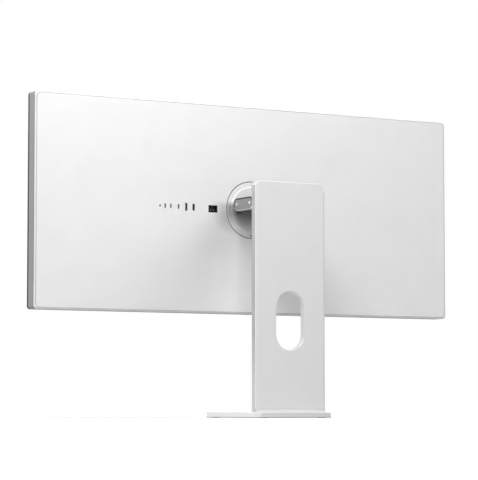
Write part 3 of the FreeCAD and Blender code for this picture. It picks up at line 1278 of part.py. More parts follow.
for thing in doc.Objects:
    if {"Invalid", "Error"} & set(thing.State):
        raise RuntimeError(f"{thing.Label} failed: {thing.State}")
os.makedirs("parts", exist_ok=True)
for node in nodes:
    if node.Shape.isNull() or not node.Shape.isValid():
        raise RuntimeError(f"{node.Label} has no valid shape")
    node.Shape.exportStep(os.path.join("parts", f"{node.Label}.step"))
    box = node.Shape.BoundBox
    print(f"{node.Label:20s} {len(node.Shape.Solids):2d} solids {node.Shape.Volume / 1000:9.2f} cm3"
          f"  x {box.XMin:7.1f} {box.XMax:7.1f}  y {box.YMin:7.1f} {box.YMax:7.1f}"
          f"  z {box.ZMin:7.1f} {box.ZMax:7.1f}")
print(len(nodes), "nodes")
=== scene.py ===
import math

import bmesh
import bpy
import numpy as np
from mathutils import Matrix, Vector


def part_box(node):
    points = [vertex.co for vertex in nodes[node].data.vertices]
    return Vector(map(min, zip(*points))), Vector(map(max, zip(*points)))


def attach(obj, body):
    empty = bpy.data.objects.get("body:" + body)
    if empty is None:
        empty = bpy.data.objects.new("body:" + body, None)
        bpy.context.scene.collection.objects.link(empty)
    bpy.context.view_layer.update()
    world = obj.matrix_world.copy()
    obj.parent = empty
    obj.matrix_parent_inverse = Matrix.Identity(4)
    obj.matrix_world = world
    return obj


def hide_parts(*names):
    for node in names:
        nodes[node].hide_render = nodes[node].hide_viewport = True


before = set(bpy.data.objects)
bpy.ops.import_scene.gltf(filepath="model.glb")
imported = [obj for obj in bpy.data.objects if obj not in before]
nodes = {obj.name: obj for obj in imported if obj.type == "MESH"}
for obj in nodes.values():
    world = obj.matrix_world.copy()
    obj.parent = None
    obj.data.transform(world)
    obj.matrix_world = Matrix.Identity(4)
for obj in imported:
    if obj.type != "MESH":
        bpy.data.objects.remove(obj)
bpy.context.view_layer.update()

mm = 0.001
print("frame loaded:", len(nodes), "nodes")


def pointAt(thing, spot, target):
    # puts a camera or a lamp at the spot, looking along its -Z at the target
    thing.location = spot
    thing.rotation_mode = "QUATERNION"
    thing.rotation_quaternion = (Vector(target) - Vector(spot)).to_track_quat("-Z", "Y")


def corners(node):
    # a node's lowest and highest corner
    return tuple(np.array(corner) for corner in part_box(node))


cameraSet = {
    "lens": 165.1,                            # millimetres, on a 36 mm sensor
    "clip": (0.1, 60),
    "eye": (2.2105, 3.7120, 0.0159),          # just above the desk, behind the screen
    "target": (0.0279, -0.0655, 0.3524),
}


def makeCamera(look):
    data = bpy.data.cameras.new("studioCamera")
    data.lens = look["lens"]
    data.clip_start, data.clip_end = look["clip"]
    camera = bpy.data.objects.new("studioCamera", data)
    bpy.context.scene.collection.objects.link(camera)
    pointAt(camera, look["eye"], look["target"])
    bpy.context.scene.camera = camera


makeCamera(cameraSet)
print("camera placed")


noiseRange = (0.3, 0.7)                       # where nearly all of a noise's values lie
noiseRoughness = 0.55                         # how much its finer waves count


class nodeSheet:
    # one material's node tree, with short ways to add a node and join two sockets
    def __init__(self, name):
        self.material = bpy.data.materials.new(name)
        self.material.use_nodes = True
        self.tree = self.material.node_tree
        self.shader = self.tree.nodes["Principled BSDF"]

    def add(self, kind, **values):
        # each value is one of the node's own settings or else one of its inputs
        node = self.tree.nodes.new("ShaderNode" + kind)
        for key, value in values.items():
            if hasattr(node, key):
                setattr(node, key, value)
            else:
                node.inputs[key].default_value = value
        return node

    def join(self, source, target):
        self.tree.links.new(source, target)

    def count(self, operation, *values):
        # one step of arithmetic, on sockets or plain numbers
        node = self.add("Math", operation=operation)
        for value, target in zip(values, node.inputs):
            if isinstance(value, bpy.types.NodeSocket):
                self.join(value, target)
            else:
                target.default_value = value
        return node.outputs["Value"]

    def place(self):
        # the object's own coordinates, in metres
        return self.add("TexCoord").outputs["Object"]

    def along(self, axis):
        # one of those three coordinates
        split = self.add("SeparateXYZ")
        self.join(self.place(), split.inputs[0])
        return split.outputs[axis]

    def reach(self, low, high, axes):
        # how far a point is from the stretch between two corners, over some axes only
        here = self.place()
        spot = here
        for operation, corner in (("MAXIMUM", low), ("MINIMUM", high)):
            hold = self.add("VectorMath", operation=operation)
            self.join(spot, hold.inputs[0])
            hold.inputs[1].default_value = corner
            spot = hold.outputs["Vector"]
        away, flat, length = (self.add("VectorMath", operation=kind)
                              for kind in ("SUBTRACT", "MULTIPLY", "LENGTH"))
        self.join(here, away.inputs[0])
        self.join(spot, away.inputs[1])
        self.join(away.outputs["Vector"], flat.inputs[0])
        flat.inputs[1].default_value = axes
        self.join(flat.outputs["Vector"], length.inputs[0])
        return length.outputs["Value"]

    def grain(self, scale, detail, stretch=(1, 1, 1)):
        # noise over the object's own coordinates; scale is in waves a metre
        turn = self.add("Mapping", Scale=stretch)
        noise = self.add("TexNoise", Scale=scale, Detail=detail, Roughness=noiseRoughness)
        self.join(self.place(), turn.inputs["Vector"])
        self.join(turn.outputs["Vector"], noise.inputs["Vector"])
        return noise.outputs["Fac"]

    def step(self, source, start, end, low=0.0, high=1.0):
        # low up to the start and high from the end on
        fit = self.add("MapRange")
        for name, value in (("From Min", start), ("From Max", end), ("To Min", low), ("To Max", high)):
            fit.inputs[name].default_value = value
        self.join(source, fit.inputs["Value"])
        return fit.outputs["Result"]

    def sheen(self, source, rough, spread):
        # roughness that wanders round its middle value with a noise
        self.join(self.step(source, *noiseRange, rough - spread, rough + spread),
                  self.shader.inputs["Roughness"])

    def tone(self, source, dark, light):
        # a colour between two tones, by a noise or a mask
        ramp = self.add("ValToRGB")
        for step, position, color in zip(ramp.color_ramp.elements, noiseRange, (dark, light)):
            step.position, step.color = position, (*color, 1)
        self.join(source, ramp.inputs["Fac"])
        self.join(ramp.outputs["Color"], self.shader.inputs["Base Color"])

    def shade(self, level, *masks):
        # lays a grey over the colour where every mask is 1
        mask = masks[0]
        for other in masks[1:]:
            mask = self.count("MULTIPLY", mask, other)
        blend, color = self.add("MixRGB"), self.shader.inputs["Base Color"]
        self.join(color.links[0].from_socket, blend.inputs["Color1"])
        blend.inputs["Color2"].default_value = (level, level, level, 1)
        self.join(mask, blend.inputs["Fac"])
        self.join(blend.outputs["Color"], color)

    def bump(self, source, depth, distance):
        # a fine relief that follows a noise
        lift = self.add("Bump", Strength=depth, Distance=distance)
        self.join(source, lift.inputs["Height"])
        self.join(lift.outputs["Normal"], self.shader.inputs["Normal"])

    def fill(self, **values):
        # plain values of the shader, by socket name with its words run together
        for target in self.shader.inputs:
            key = target.name.replace(" ", "")
            if key in values:
                target.default_value = values[key]


def grey(level):
    return (level, level, level)


# a fine satin surface, unless a finish says otherwise
satin = {"cloud": 14, "cloudDetail": 3.0, "drift": 0.015, "grain": 2600, "grainDetail": 2.0,
         "stretch": (1, 1, 1), "depth": 0.12, "relief": 0.05, "spread": 0.04, "metal": 0.0,
         "gloss": 0.5, "coat": 0.0, "coatRough": 0.1}


def satinFinish(name, look):
    # cloudy tone, uneven sheen and a tight grain
    look = {**satin, **look}
    sheet = nodeSheet(name)
    cloud = sheet.grain(look["cloud"], look["cloudDetail"])
    tight = sheet.grain(look["grain"], look["grainDetail"], look["stretch"])
    color, drift = np.array(look["color"], float), look["drift"]
    sheet.tone(cloud, tuple(color * (1 - drift)), tuple(np.minimum(color * (1 + drift), 1)))
    sheet.sheen(tight, look["rough"], look["spread"])
    sheet.bump(tight, look["depth"], look["relief"] * mm)
    sheet.fill(Metallic=look["metal"], SpecularIORLevel=look["gloss"], CoatWeight=look["coat"],
               CoatRoughness=look["coatRough"])
    return sheet


finishes = {
    "coverPaint": {"color": grey(0.86), "rough": 0.38},
    "columnPaint": {"color": grey(0.80), "rough": 0.30},
    "basePaint": {"color": grey(0.88), "rough": 0.40, "gloss": 0.0},
    "hubPaint": {"color": grey(0.86), "rough": 0.32},
    "lidPaint": {"color": grey(0.10), "rough": 0.45},
    "armPaint": {"color": grey(0.62), "rough": 0.30},
    "armLid": {"color": grey(0.06), "rough": 0.55, "depth": 0.3},
    "armPlate": {"color": grey(0.36), "rough": 0.35, "metal": 0.3, "stretch": (0.05, 0.05, 1)},
    "framePlastic": {"color": grey(0.30), "rough": 0.5, "gloss": 0.2, "depth": 0.25, "grain": 1800},
    "bezelPlastic": {"color": grey(0.02), "rough": 0.6, "gloss": 0.1, "depth": 0.25, "grain": 1800},
    "footRubber": {"color": grey(0.05), "rough": 0.75, "depth": 0.4, "grain": 1500},
    "platedSteel": {"color": grey(0.55), "rough": 0.35, "metal": 1.0, "stretch": (1, 1, 0.05)},
    "blackScrew": {"color": grey(0.05), "rough": 0.4, "metal": 0.6},
    "springSteel": {"color": (0.50, 0.51, 0.54), "rough": 0.28, "metal": 1.0, "stretch": (1, 0.05, 1)},
    "brightPin": {"color": grey(0.95), "rough": 0.22, "metal": 1.0},
    "acetal": {"color": (0.84, 0.84, 0.81), "rough": 0.4},
    "socketPlastic": {"color": grey(0.025), "rough": 0.35},
    "inletPlastic": {"color": grey(0.012), "rough": 0.5},
    "tinContact": {"color": (0.72, 0.70, 0.64), "rough": 0.25, "metal": 1.0},
    "goldContact": {"color": (0.83, 0.62, 0.28), "rough": 0.25, "metal": 1.0},
    "portShell": {"color": grey(0.35), "rough": 0.3, "metal": 1.0},
    "ribbonFilm": {"color": (0.60, 0.33, 0.06), "rough": 0.3, "coat": 0.4},
    "keyPlastic": {"color": grey(0.30), "rough": 0.45},
    "opticalFilm": {"color": grey(0.90), "rough": 0.5},
    "guideAcrylic": {"color": (0.86, 0.90, 0.90), "rough": 0.15, "coat": 0.5},
    "reflectorFilm": {"color": grey(0.92), "rough": 0.4},
    "chassisSteel": {"color": (0.56, 0.57, 0.58), "rough": 0.4, "metal": 1.0, "stretch": (0.05, 1, 1)},
}
wornBy = {
    "coverPaint": ["rear_cover"],
    "columnPaint": ["column"],
    "basePaint": ["base_plate"],
    "hubPaint": ["hub"],
    "lidPaint": ["well_lid"],
    "armPaint": ["arm"],
    "armLid": ["arm_belly_cover"],
    "armPlate": ["left_arm_plate", "right_arm_plate"],
    "framePlastic": ["middle_frame"],
    "bezelPlastic": ["front_bezel"],
    "footRubber": ["rubber_feet"],
    "platedSteel": ["rail_screws", "left_guide_rail", "right_guide_rail", "spring_anchors", "carriage",
                    "drum_pins", "arm_screws", "hub_socket", "hub_screws", "hub_posts", "cover_screws"],
    "blackScrew": ["base_screws", "well_lid_screws", "hub_lock_screw"],
    "springSteel": ["left_spring_strip", "right_spring_strip", "left_spring_coil", "right_spring_coil",
                    "friction_washers"],
    "brightPin": ["tilt_pin", "arm_plate_screws"],
    "acetal": ["glide_shoes", "left_spring_spool", "right_spring_spool"],
    "socketPlastic": ["headphone_jack"],
    "inletPlastic": ["ac_inlet"],
    "tinContact": ["inlet_pins", "board_standoffs"],
    "portShell": ["usb_c_port_1", "usb_c_port_2", "usb_c_port_3", "hdmi_port", "usb_a_port"],
    "ribbonFilm": ["panel_ribbon"],
    "keyPlastic": ["power_button"],
    "opticalFilm": ["film_stack"],
    "guideAcrylic": ["light_guide"],
    "reflectorFilm": ["reflector_sheet"],
    "chassisSteel": ["panel_chassis"],
    "screenGlass": ["lcd_panel"],
}


# parts moulded or built up in several colours: bands across the node's own box, each from a height in
# millimetres, with its colour and how metallic it is
boardGreen = (0.015, 0.10, 0.05)
bandedFinishes = {
    "mainBoard": {"node": "main_board", "axis": "Y", "rough": 0.38,
                  "bands": ((0, boardGreen, 0), (1.7, grey(0.02), 0), (4.9, grey(0.62), 1))},
    "powerBoard": {"node": "power_board", "axis": "Y", "rough": 0.42,
                   "bands": ((0, (0.22, 0.13, 0.05), 0), (1.7, grey(0.03), 0),
                             (8.0, (0.55, 0.40, 0.04), 0), (12.4, grey(0.60), 1))},
    "timingBoard": {"node": "timing_board", "axis": "Y", "rough": 0.38,
                    "bands": ((0, boardGreen, 0), (1.7, grey(0.02), 0))},
    "socketBoard": {"node": "io_board", "axis": "Z", "rough": 0.38,
                    "bands": ((0, boardGreen, 0), (42.5, (0.55, 0.42, 0.12), 1))},
    "keyBoard": {"node": "button_board", "axis": "Z", "rough": 0.40,
                 "bands": ((0, grey(0.04), 0), (0.6, grey(0.55), 1), (2.6, boardGreen, 0))},
    "supplyLeads": {"node": "inlet_leads", "axis": "X", "rough": 0.40,
                    "bands": ((0, (0.02, 0.05, 0.30), 0), (3.3, (0.06, 0.30, 0.05), 0),
                              (7.3, (0.14, 0.05, 0.02), 0))},
    "lampStrip": {"node": "led_bar", "axis": "Z", "rough": 0.35,
                  "bands": ((0, grey(0.82), 0), (1.25, (0.85, 0.68, 0.16), 0))},
}
bandGrain = {"scale": 900, "detail": 3.0, "spread": 0.06, "depth": 0.2, "relief": 0.08}


def bandedFinish(name, look):
    # the share of the way across the box, read off two stepped ramps: one for colour, one for metal
    sheet = nodeSheet(name)
    low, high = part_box(look["node"])
    axis = "XYZ".index(look["axis"])
    share = sheet.step(sheet.along(axis), low[axis], high[axis])
    for target, values in (("Base Color", [band[1] for band in look["bands"]]),
                           ("Metallic", [grey(band[2]) for band in look["bands"]])):
        ramp = sheet.add("ValToRGB")
        ramp.color_ramp.interpolation = "CONSTANT"
        steps = ramp.color_ramp.elements
        while len(steps) < len(values):
            steps.new(1.0)
        for step, band, value in zip(steps, look["bands"], values):
            step.position = band[0] * mm / (high[axis] - low[axis])
            step.color = (*value, 1)
        sheet.join(share, ramp.inputs["Fac"])
        sheet.join(ramp.outputs["Color"], sheet.shader.inputs[target])
    tight = sheet.grain(bandGrain["scale"], bandGrain["detail"])
    sheet.sheen(tight, look["rough"], bandGrain["spread"])
    sheet.bump(tight, bandGrain["depth"], bandGrain["relief"] * mm)
    return sheet.material


# the screen: a clear matt face, with the picture area a shade lighter than its black border
screenFace = {"border": 5.2, "borderTone": 0.004, "pictureTone": 0.010, "soft": 0.3, "gloss": 0.2,
              "rough": 0.30, "spread": 0.03, "grain": 3000, "detail": 2.0, "depth": 0.1,
              "relief": 0.03}


def screenFinish(name, look):
    # how far inside the border a point is: the smaller of its distances to the sides and to top or bottom
    sheet = nodeSheet(name)
    low, high = corners("lcd_panel")
    middle, half = (low + high) / 2, (high - low) / 2 - look["border"] * mm
    inside = []
    for axis in (0, 2):
        away = sheet.count("ABSOLUTE", sheet.count("SUBTRACT", sheet.along(axis), middle[axis]))
        inside.append(sheet.count("SUBTRACT", half[axis], away))
    picture = sheet.step(sheet.count("MINIMUM", *inside), 0, look["soft"] * mm)
    sheet.tone(picture, grey(look["borderTone"]), grey(look["pictureTone"]))
    sheet.fill(SpecularIORLevel=look["gloss"])
    tight = sheet.grain(look["grain"], look["detail"])
    sheet.sheen(tight, look["rough"], look["spread"])
    sheet.bump(tight, look["depth"], look["relief"] * mm)
    return sheet.material


sheets = {name: satinFinish(name, look) for name, look in finishes.items()}


# tones that follow the shape, many of them painted shade and painted highlights: spans are in millimetres,
# and each edge is as wide as softEdge
darkTone = 0.02
softEdge = 0.1 * mm

# the dark gap round the hub, a painted shadow round the arm's root, and the hub's lugs painted near black
# as painted shade
hubTones = {"gap": 1.0, "edge": 0.35, "fade": (9.0, -1.0), "lugStart": 7.2, "lugTone": 0.06,
            "shades": {"hubPaint": (30.0, 5.0, 0.34), "coverPaint": (46.0, 20.0, 0.60)}}


def toneHub(look):
    # the gap, by the distance from the hub's axis
    low, high = corners("hub")
    middle, radius = (low + high) / 2, (high[0] - low[0]) / 2
    for name, start, sense in (("coverPaint", radius + (look["gap"] + look["edge"]) * mm, -1),
                               ("hubPaint", radius - look["edge"] * mm, 1)):
        near = sheets[name].reach(middle, middle, (1, 0, 1))
        sheets[name].shade(darkTone, sheets[name].step(near, start, start + sense * softEdge))
    # painted shadow: the casting and the cover are darker close to the arm, from the arm's middle down,
    # standing in for the arm's shade
    arm = corners("arm")
    start, end = ((arm[0][2] + arm[1][2]) / 2 + above * mm for above in look["fade"])
    for name, (far, close, level) in look["shades"].items():
        sheet = sheets[name]
        sheet.shade(level, sheet.step(sheet.reach(*arm, (1, 0, 1)), far * mm, close * mm),
                    sheet.step(sheet.along(2), start, end))
    # the lugs, from just beyond the disc's face, painted near black as painted shade under the arm
    sheet, start = sheets["hubPaint"], low[1] + look["lugStart"] * mm
    sheet.shade(look["lugTone"], sheet.step(sheet.along(1), start, start + softEdge))


# a faint line just inside the cover's outline
outlineTones = {"room": 12.0, "inset": (2.2, 3.7), "tone": 0.50}


def toneOutline(look):
    # by the distance outside a smaller box with the same middle
    low, high = corners("rear_cover")
    room, sheet = look["room"] * mm, sheets["coverPaint"]
    away = sheet.reach((low + room) * (1, 0, 1), (high - room) * (1, 0, 1), (1, 0, 1))
    start, end = (room - span * mm for span in reversed(look["inset"]))
    sheet.shade(look["tone"], sheet.step(away, start, start + softEdge),
                sheet.step(away, end + softEdge, end))


# the arm's side plates: a dark line round each, a painted shadow along each plate's upper edge, and the rim
# of its seat with painted shade above and a painted highlight below
plateTones = {"radius": 10.5, "edge": 0.25, "run": 50.0, "shade": 1.2, "shadeSoft": 0.3,
              "shadeTone": 0.06, "rimRadius": 12.4, "rimDrop": 5.0, "rimSoft": 1.0, "sideDepth": 1.0,
              "skin": 0.05, "lipTone": 0.85}


def tonePlates(look):
    # by the distance from each plate's middle line
    low, high = corners("right_arm_plate")
    outer, level = high[0], (low[2] + high[2]) / 2
    front = low[1] + (high[1] - low[1] - look["run"] * mm) / 2
    ends = ((-1, front, level), (1, front + look["run"] * mm, level))
    bottom, soft = level - look["rimDrop"] * mm, look["rimSoft"] * mm
    sheet = sheets["armPlate"]
    near = sheet.reach(*ends, (0, 1, 1))
    start = (look["radius"] - look["edge"]) * mm
    sheet.shade(darkTone, sheet.step(near, start, start + softEdge))
    # painted shadow: the upper part of each plate's edge band is near black, as if shaded by its seat's
    # upper wall
    start = start - look["shade"] * mm
    sheet.shade(look["shadeTone"], sheet.step(near, start, start + look["shadeSoft"] * mm),
                sheet.step(sheet.along(2), bottom, bottom + soft))
    sheet = sheets["armPaint"]
    near, across = sheet.reach(*ends, (0, 1, 1)), sheet.reach((0, 0, 0), (0, 0, 0), (1, 0, 0))
    edge, skin = (look["radius"] + 2 * look["edge"]) * mm, outer - look["skin"] * mm
    sheet.shade(darkTone, sheet.step(across, skin, outer - softEdge),
                sheet.step(near, edge, edge - softEdge))
    # painted shade on the seat's rim above the plate's middle line
    start = outer - look["sideDepth"] * mm
    side, rim = sheet.step(across, start, start + softEdge), look["rimRadius"] * mm
    sheet.shade(darkTone, side, sheet.step(near, rim, rim - softEdge),
                sheet.step(sheet.along(2), bottom, bottom + soft))
    # painted highlight: the lip below is paler, as if lit from above
    sheet.shade(look["lipTone"], side, sheet.step(near, edge, edge + softEdge),
                sheet.step(sheet.along(2), bottom, bottom - soft))


# bands along the frame's depth, from the screen back to the cover: a black band, a paler band that is a
# painted highlight on the frame's front edge, and a dark seam
frameTones = {"bands": ((5.0, 0.50), (3.8, 0.02)), "seam": (2.4, 0.20)}


def toneFrame(look):
    # by how far a point lies behind the bezel, and how far in front of the cover's lip
    sheet, front, back = sheets["framePlastic"], corners("front_bezel")[1][1], corners("middle_frame")[1][1]
    # a black band behind the bezel over a paler band, which is a painted highlight on the frame's front
    # edge
    for depth, level in look["bands"]:
        edge = front + depth * mm
        sheet.shade(level, sheet.step(sheet.along(1), edge, edge - softEdge))
    depth, level = look["seam"]
    edge = back - depth * mm
    sheet.shade(level, sheet.step(sheet.along(1), edge, edge + softEdge))


# the column's rounded upright edges with a painted highlight, its sides, its flared foot and its far edge
# with painted shade, and the cable hole's edge
columnTones = {"sides": ((1.5, 0.99), (0.25, 0.60)), "foot": (9.0, 3.0), "footTone": 0.58,
               "farEdge": 2.8, "farEdgeDrop": 17.0, "farEdgeTone": 0.60,
               "holeHeight": 187.0, "holeSpan": (62.5, 113.0), "holeEdge": 1.0, "holeDepth": 0.8}


def toneColumn(look):
    # by the distance from the column's middle, and by the height
    low, high = corners("column")
    middle, sheet = (low + high) / 2, sheets["columnPaint"]
    across = sheet.reach(middle, middle, (1, 0, 0))
    # a painted highlight on the rounded upright edges, then painted shade on the side faces
    for span, level in look["sides"]:
        edge = high[0] - middle[0] - span * mm
        sheet.shade(level, sheet.step(across, edge, edge + softEdge))
    # painted shade on the flared foot, darker towards the bottom
    start, end = (low[2] + above * mm for above in look["foot"])
    sheet.shade(look["footTone"], sheet.step(sheet.along(2), start, end))
    # painted shade along the far upright edge, below the top
    edge, start = low[0] + look["farEdge"] * mm, high[2] - look["farEdgeDrop"] * mm
    sheet.shade(look["farEdgeTone"], sheet.step(sheet.along(0), edge, edge - softEdge),
                sheet.step(sheet.along(2), start, start - softEdge))
    # the hole, by the distance from its upright middle line
    wide, tall = (span * mm for span in look["holeSpan"])
    level, run = look["holeHeight"] * mm, (tall - wide) / 2
    near = sheet.reach((middle[0], 0, level - run), (middle[0], 0, level + run), (1, 0, 1))
    edge, skin = wide / 2 + look["holeEdge"] * mm, high[1] - look["holeDepth"] * mm
    sheet.shade(darkTone, sheet.step(near, edge, edge - softEdge),
                sheet.step(sheet.along(1), skin, skin + softEdge))


# the base plate's front and back faces with painted shade, a painted highlight on its rounded upper edge,
# painted shade on its top, and a painted shadow along its lower edge
baseTones = {"end": (0.4, 0.78), "tops": ((1.8, 0.99), (0.3, 0.72)), "sole": (1.5, 0.45)}


def toneBase(look):
    # by the distance from the plate's middle, and by the height
    low, high = corners("base_plate")
    middle, sheet = (low + high) / 2, sheets["basePaint"]
    # painted shade on the front and back faces
    depth, level = look["end"]
    edge = high[1] - middle[1] - depth * mm
    sheet.shade(level, sheet.step(sheet.reach(middle, middle, (0, 1, 0)), edge, edge + softEdge))
    # a painted highlight on the rounded upper edge, and painted shade on the top
    for depth, level in look["tops"]:
        edge = high[2] - depth * mm
        sheet.shade(level, sheet.step(sheet.along(2), edge, edge + softEdge))
    # a painted contact shadow along the lower edge
    depth, level = look["sole"]
    edge = low[2] + depth * mm
    sheet.shade(level, sheet.step(sheet.along(2), edge, edge - softEdge))


toneHub(hubTones)
toneOutline(outlineTones)
tonePlates(plateTones)
toneFrame(frameTones)
toneColumn(columnTones)
toneBase(baseTones)
materials = {name: sheet.material for name, sheet in sheets.items()}
materials.update({name: bandedFinish(name, look) for name, look in bandedFinishes.items()})
materials["screenGlass"] = screenFinish("screenGlass", screenFace)
for name, look in bandedFinishes.items():
    wornBy[name] = [look["node"]]


def dressNodes():
    # each node's mesh wears one finish
    dressed = set()
    for finish, wearers in wornBy.items():
        for wearer in wearers:
            mesh = nodes[wearer].data
            mesh.materials.clear()
            mesh.materials.append(materials[finish])
            dressed.add(wearer)
    print("nodes dressed:", len(dressed), "bare:", sorted(set(nodes) - dressed))


dressNodes()


# surfaces: each is a grid of points worked out from two parameters, joined by quads
sharpAngle = math.radians(35)
weldDistance = 2e-6


def makePiece(name, grids, look, material):
    # grids are (rows, columns, 3) arrays that close round their columns; their ends may close to a point
    points, faces, start = [], [], 0
    for grid in grids:
        rows, columns = grid.shape[:2]
        spot = start + np.arange(rows * columns).reshape(rows, columns)
        after = np.roll(spot, -1, axis=1)
        faces.append(np.stack([spot[:-1], after[:-1], after[1:], spot[1:]], axis=-1).reshape(-1, 4))
        points.append(grid.reshape(-1, 3))
        start += rows * columns
    mesh = bpy.data.meshes.new(name)
    mesh.from_pydata(np.concatenate(points), [], np.concatenate(faces))
    shell = bmesh.new()
    shell.from_mesh(mesh)
    bmesh.ops.remove_doubles(shell, verts=shell.verts, dist=weldDistance)
    bmesh.ops.recalc_face_normals(shell, faces=shell.faces)
    shell.to_mesh(mesh)
    shell.free()
    mesh.shade_smooth()
    mesh.set_sharp_from_angle(angle=sharpAngle)
    mesh.materials.append(material)
    piece = bpy.data.objects.new(name, mesh)
    bpy.context.scene.collection.objects.link(piece)
    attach(piece, look["body"])
    if "replaces" in look:
        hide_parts(*look["replaces"])
    print("made", name, len(mesh.polygons), "faces")


def turnAbout(radii, heights, columns):
    # a profile carried round +Z: x = r cos a, y = r sin a
    angle = np.linspace(0, 2 * np.pi, columns, endpoint=False)
    return np.stack([radii[:, None] * np.cos(angle), radii[:, None] * np.sin(angle),
                     np.repeat(heights[:, None], columns, axis=1)], axis=-1)


def aim(points, direction, spot):
    # turns +Z to the given direction and moves the origin to the spot
    turn = np.array(Vector((0, 0, 1)).rotation_difference(Vector(direction)).to_matrix())
    return points @ turn.T + np.array(spot)


def rise(value, start, end):
    # a smooth step from 0 at start to 1 at end
    share = np.clip((value - start) / (end - start), 0, 1)
    return share * share * (3 - 2 * share)


def separateSolids(node):
    # the low and high corners of each solid in a node: the lowest corner number spreads over its triangles
    mesh = nodes[node].data
    corners = np.empty(len(mesh.vertices) * 3)
    mesh.vertices.foreach_get("co", corners)
    used = np.empty(len(mesh.loops), dtype=np.int64)
    mesh.loops.foreach_get("vertex_index", used)
    spots, weld = np.unique(np.round(corners.reshape(-1, 3), 6), axis=0, return_inverse=True)
    triangles = weld.reshape(-1)[used].reshape(-1, 3)
    label = np.arange(len(spots))
    while True:
        fresh = label.copy()
        np.minimum.at(fresh, triangles, label[triangles].min(axis=1)[:, None])
        if np.array_equal(fresh, label):
            break
        label = fresh
    return [(spots[label == one].min(axis=0), spots[label == one].max(axis=0))
            for one in np.unique(label)]


# screws: a domed or flat head with a driver recess, and a thread on the shank
screwSets = {
    "baseScrews": {"node": "base_screws", "body": "stand", "slot": "dark_screw", "finish": "blackScrew",
                   "way": (0, 0, -1), "head": 4.6, "headHeight": 3.0, "dome": 0.35, "shank": 2.5,
                   "pitch": 0.8, "recess": "hex", "recessSize": 1.9, "recessDepth": 1.7},
    "wellLidScrews": {"node": "well_lid_screws", "body": "stand", "slot": "dark_screw",
                      "finish": "blackScrew", "way": (0, -1, 0), "head": 1.85, "headHeight": 0.8,
                      "dome": 0.2, "shank": 1.0, "pitch": 0.4, "recess": "cross",
                      "recessSize": 1.05, "recessDepth": 0.5},
    "railScrews": {"node": "rail_screws", "body": "stand", "slot": "steel", "finish": "platedSteel",
                   "way": (0, -1, 0), "head": 1.8, "headHeight": 1.2, "dome": 0.2, "shank": 1.0,
                   "pitch": 0.4, "recess": "cross", "recessSize": 1.05, "recessDepth": 0.6},
    "armScrews": {"node": "arm_screws", "body": "carriage", "slot": "steel", "finish": "platedSteel",
                  "way": (0, 1, 0), "head": 3.0, "headHeight": 2.2, "dome": 0.35, "shank": 1.5,
                  "pitch": 0.5, "recess": "hex", "recessSize": 1.25, "recessDepth": 1.3},
    "sidePlateScrews": {"node": "arm_plate_screws", "body": "carriage", "slot": "bright_pin",
                        "finish": "brightPin", "way": "outward", "head": 2.9, "headHeight": 0.8,
                        "dome": 0.45, "shank": 1.5, "pitch": 0.5, "recess": "hex",
                        "recessSize": 1.0, "recessDepth": 0.55},
    "hubScrews": {"node": "hub_screws", "body": "head", "slot": "steel", "finish": "platedSteel",
                  "way": (0, 1, 0), "head": 3.8, "headHeight": 2.2, "dome": 0.5, "shank": 2.0,
                  "pitch": 0.7, "recess": "cross", "recessSize": 2.1, "recessDepth": 1.3},
    "lockScrew": {"node": "hub_lock_screw", "body": "head", "slot": "dark_screw",
                  "finish": "blackScrew", "way": (0, 1, 0), "head": 2.0, "headHeight": 1.6,
                  "dome": 0.15, "shank": 1.5, "pitch": 0.5, "recess": "hex",
                  "recessSize": 1.1, "recessDepth": 1.2},
    "coverScrews": {"node": "cover_screws", "body": "head", "slot": "steel",
                    "finish": "platedSteel", "way": (0, -1, 0), "head": 2.8, "headHeight": 1.6,
                    "dome": 0.4, "shank": 1.25, "pitch": 0.5, "recess": "cross",
                    "recessSize": 1.5, "recessDepth": 1.0},
}
# what the screws share: shares of the head's radius, the recess's size, the rim's height or the pitch
screwShape = {"columns": 36, "stepsAPitch": 4, "fewestSteps": 8, "threadDepth": 0.16, "fadeOut": 0.6,
              "tipStart": 0.8, "tipTaper": 0.25, "rimTop": 0.86, "rimFoot": 0.10, "underHead": 0.97,
              "recessRings": (0.25, 1.2, 9), "faceRings": (1.35, 0.96, 4), "hexWall": (0.92, 1.08),
              "wing": (0.26, 0.10), "wingWall": (0.75, 1.15), "wingEnd": (0.90, 1.06)}


def screwTop(look):
    # height over the head = dome falling with the square of the radius, less a recess with steep walls
    head, size = look["head"], look["recessSize"]
    inner, outer, count = look["recessRings"]
    foot, rim, more = look["faceRings"]
    radii = np.concatenate([[0], np.linspace(inner * size, outer * size, count),
                            np.linspace(foot * size, rim * head, more)])
    flat = turnAbout(radii, np.zeros(len(radii)), look["columns"])
    x, y = flat[..., 0], flat[..., 1]
    if look["recess"] == "hex":
        across = np.max([np.abs(x * math.cos(a) + y * math.sin(a)) for a in
                         np.radians([0, 60, 120])], axis=0)
        inside = 1 - rise(across, *(share * size for share in look["hexWall"]))
    else:
        wide, taper = look["wing"]
        wing = size * (wide + taper * (1 - np.hypot(x, y) / size))
        near, far = np.minimum(np.abs(x), np.abs(y)), np.maximum(np.abs(x), np.abs(y))
        inside = (1 - rise(near, *(share * wing for share in look["wingWall"]))) * (
            1 - rise(far, *(share * size for share in look["wingEnd"])))
    flat[..., 2] = look["headHeight"] - look["dome"] * (radii[:, None] / head) ** 2 - (
        look["recessDepth"] * inside)
    return flat


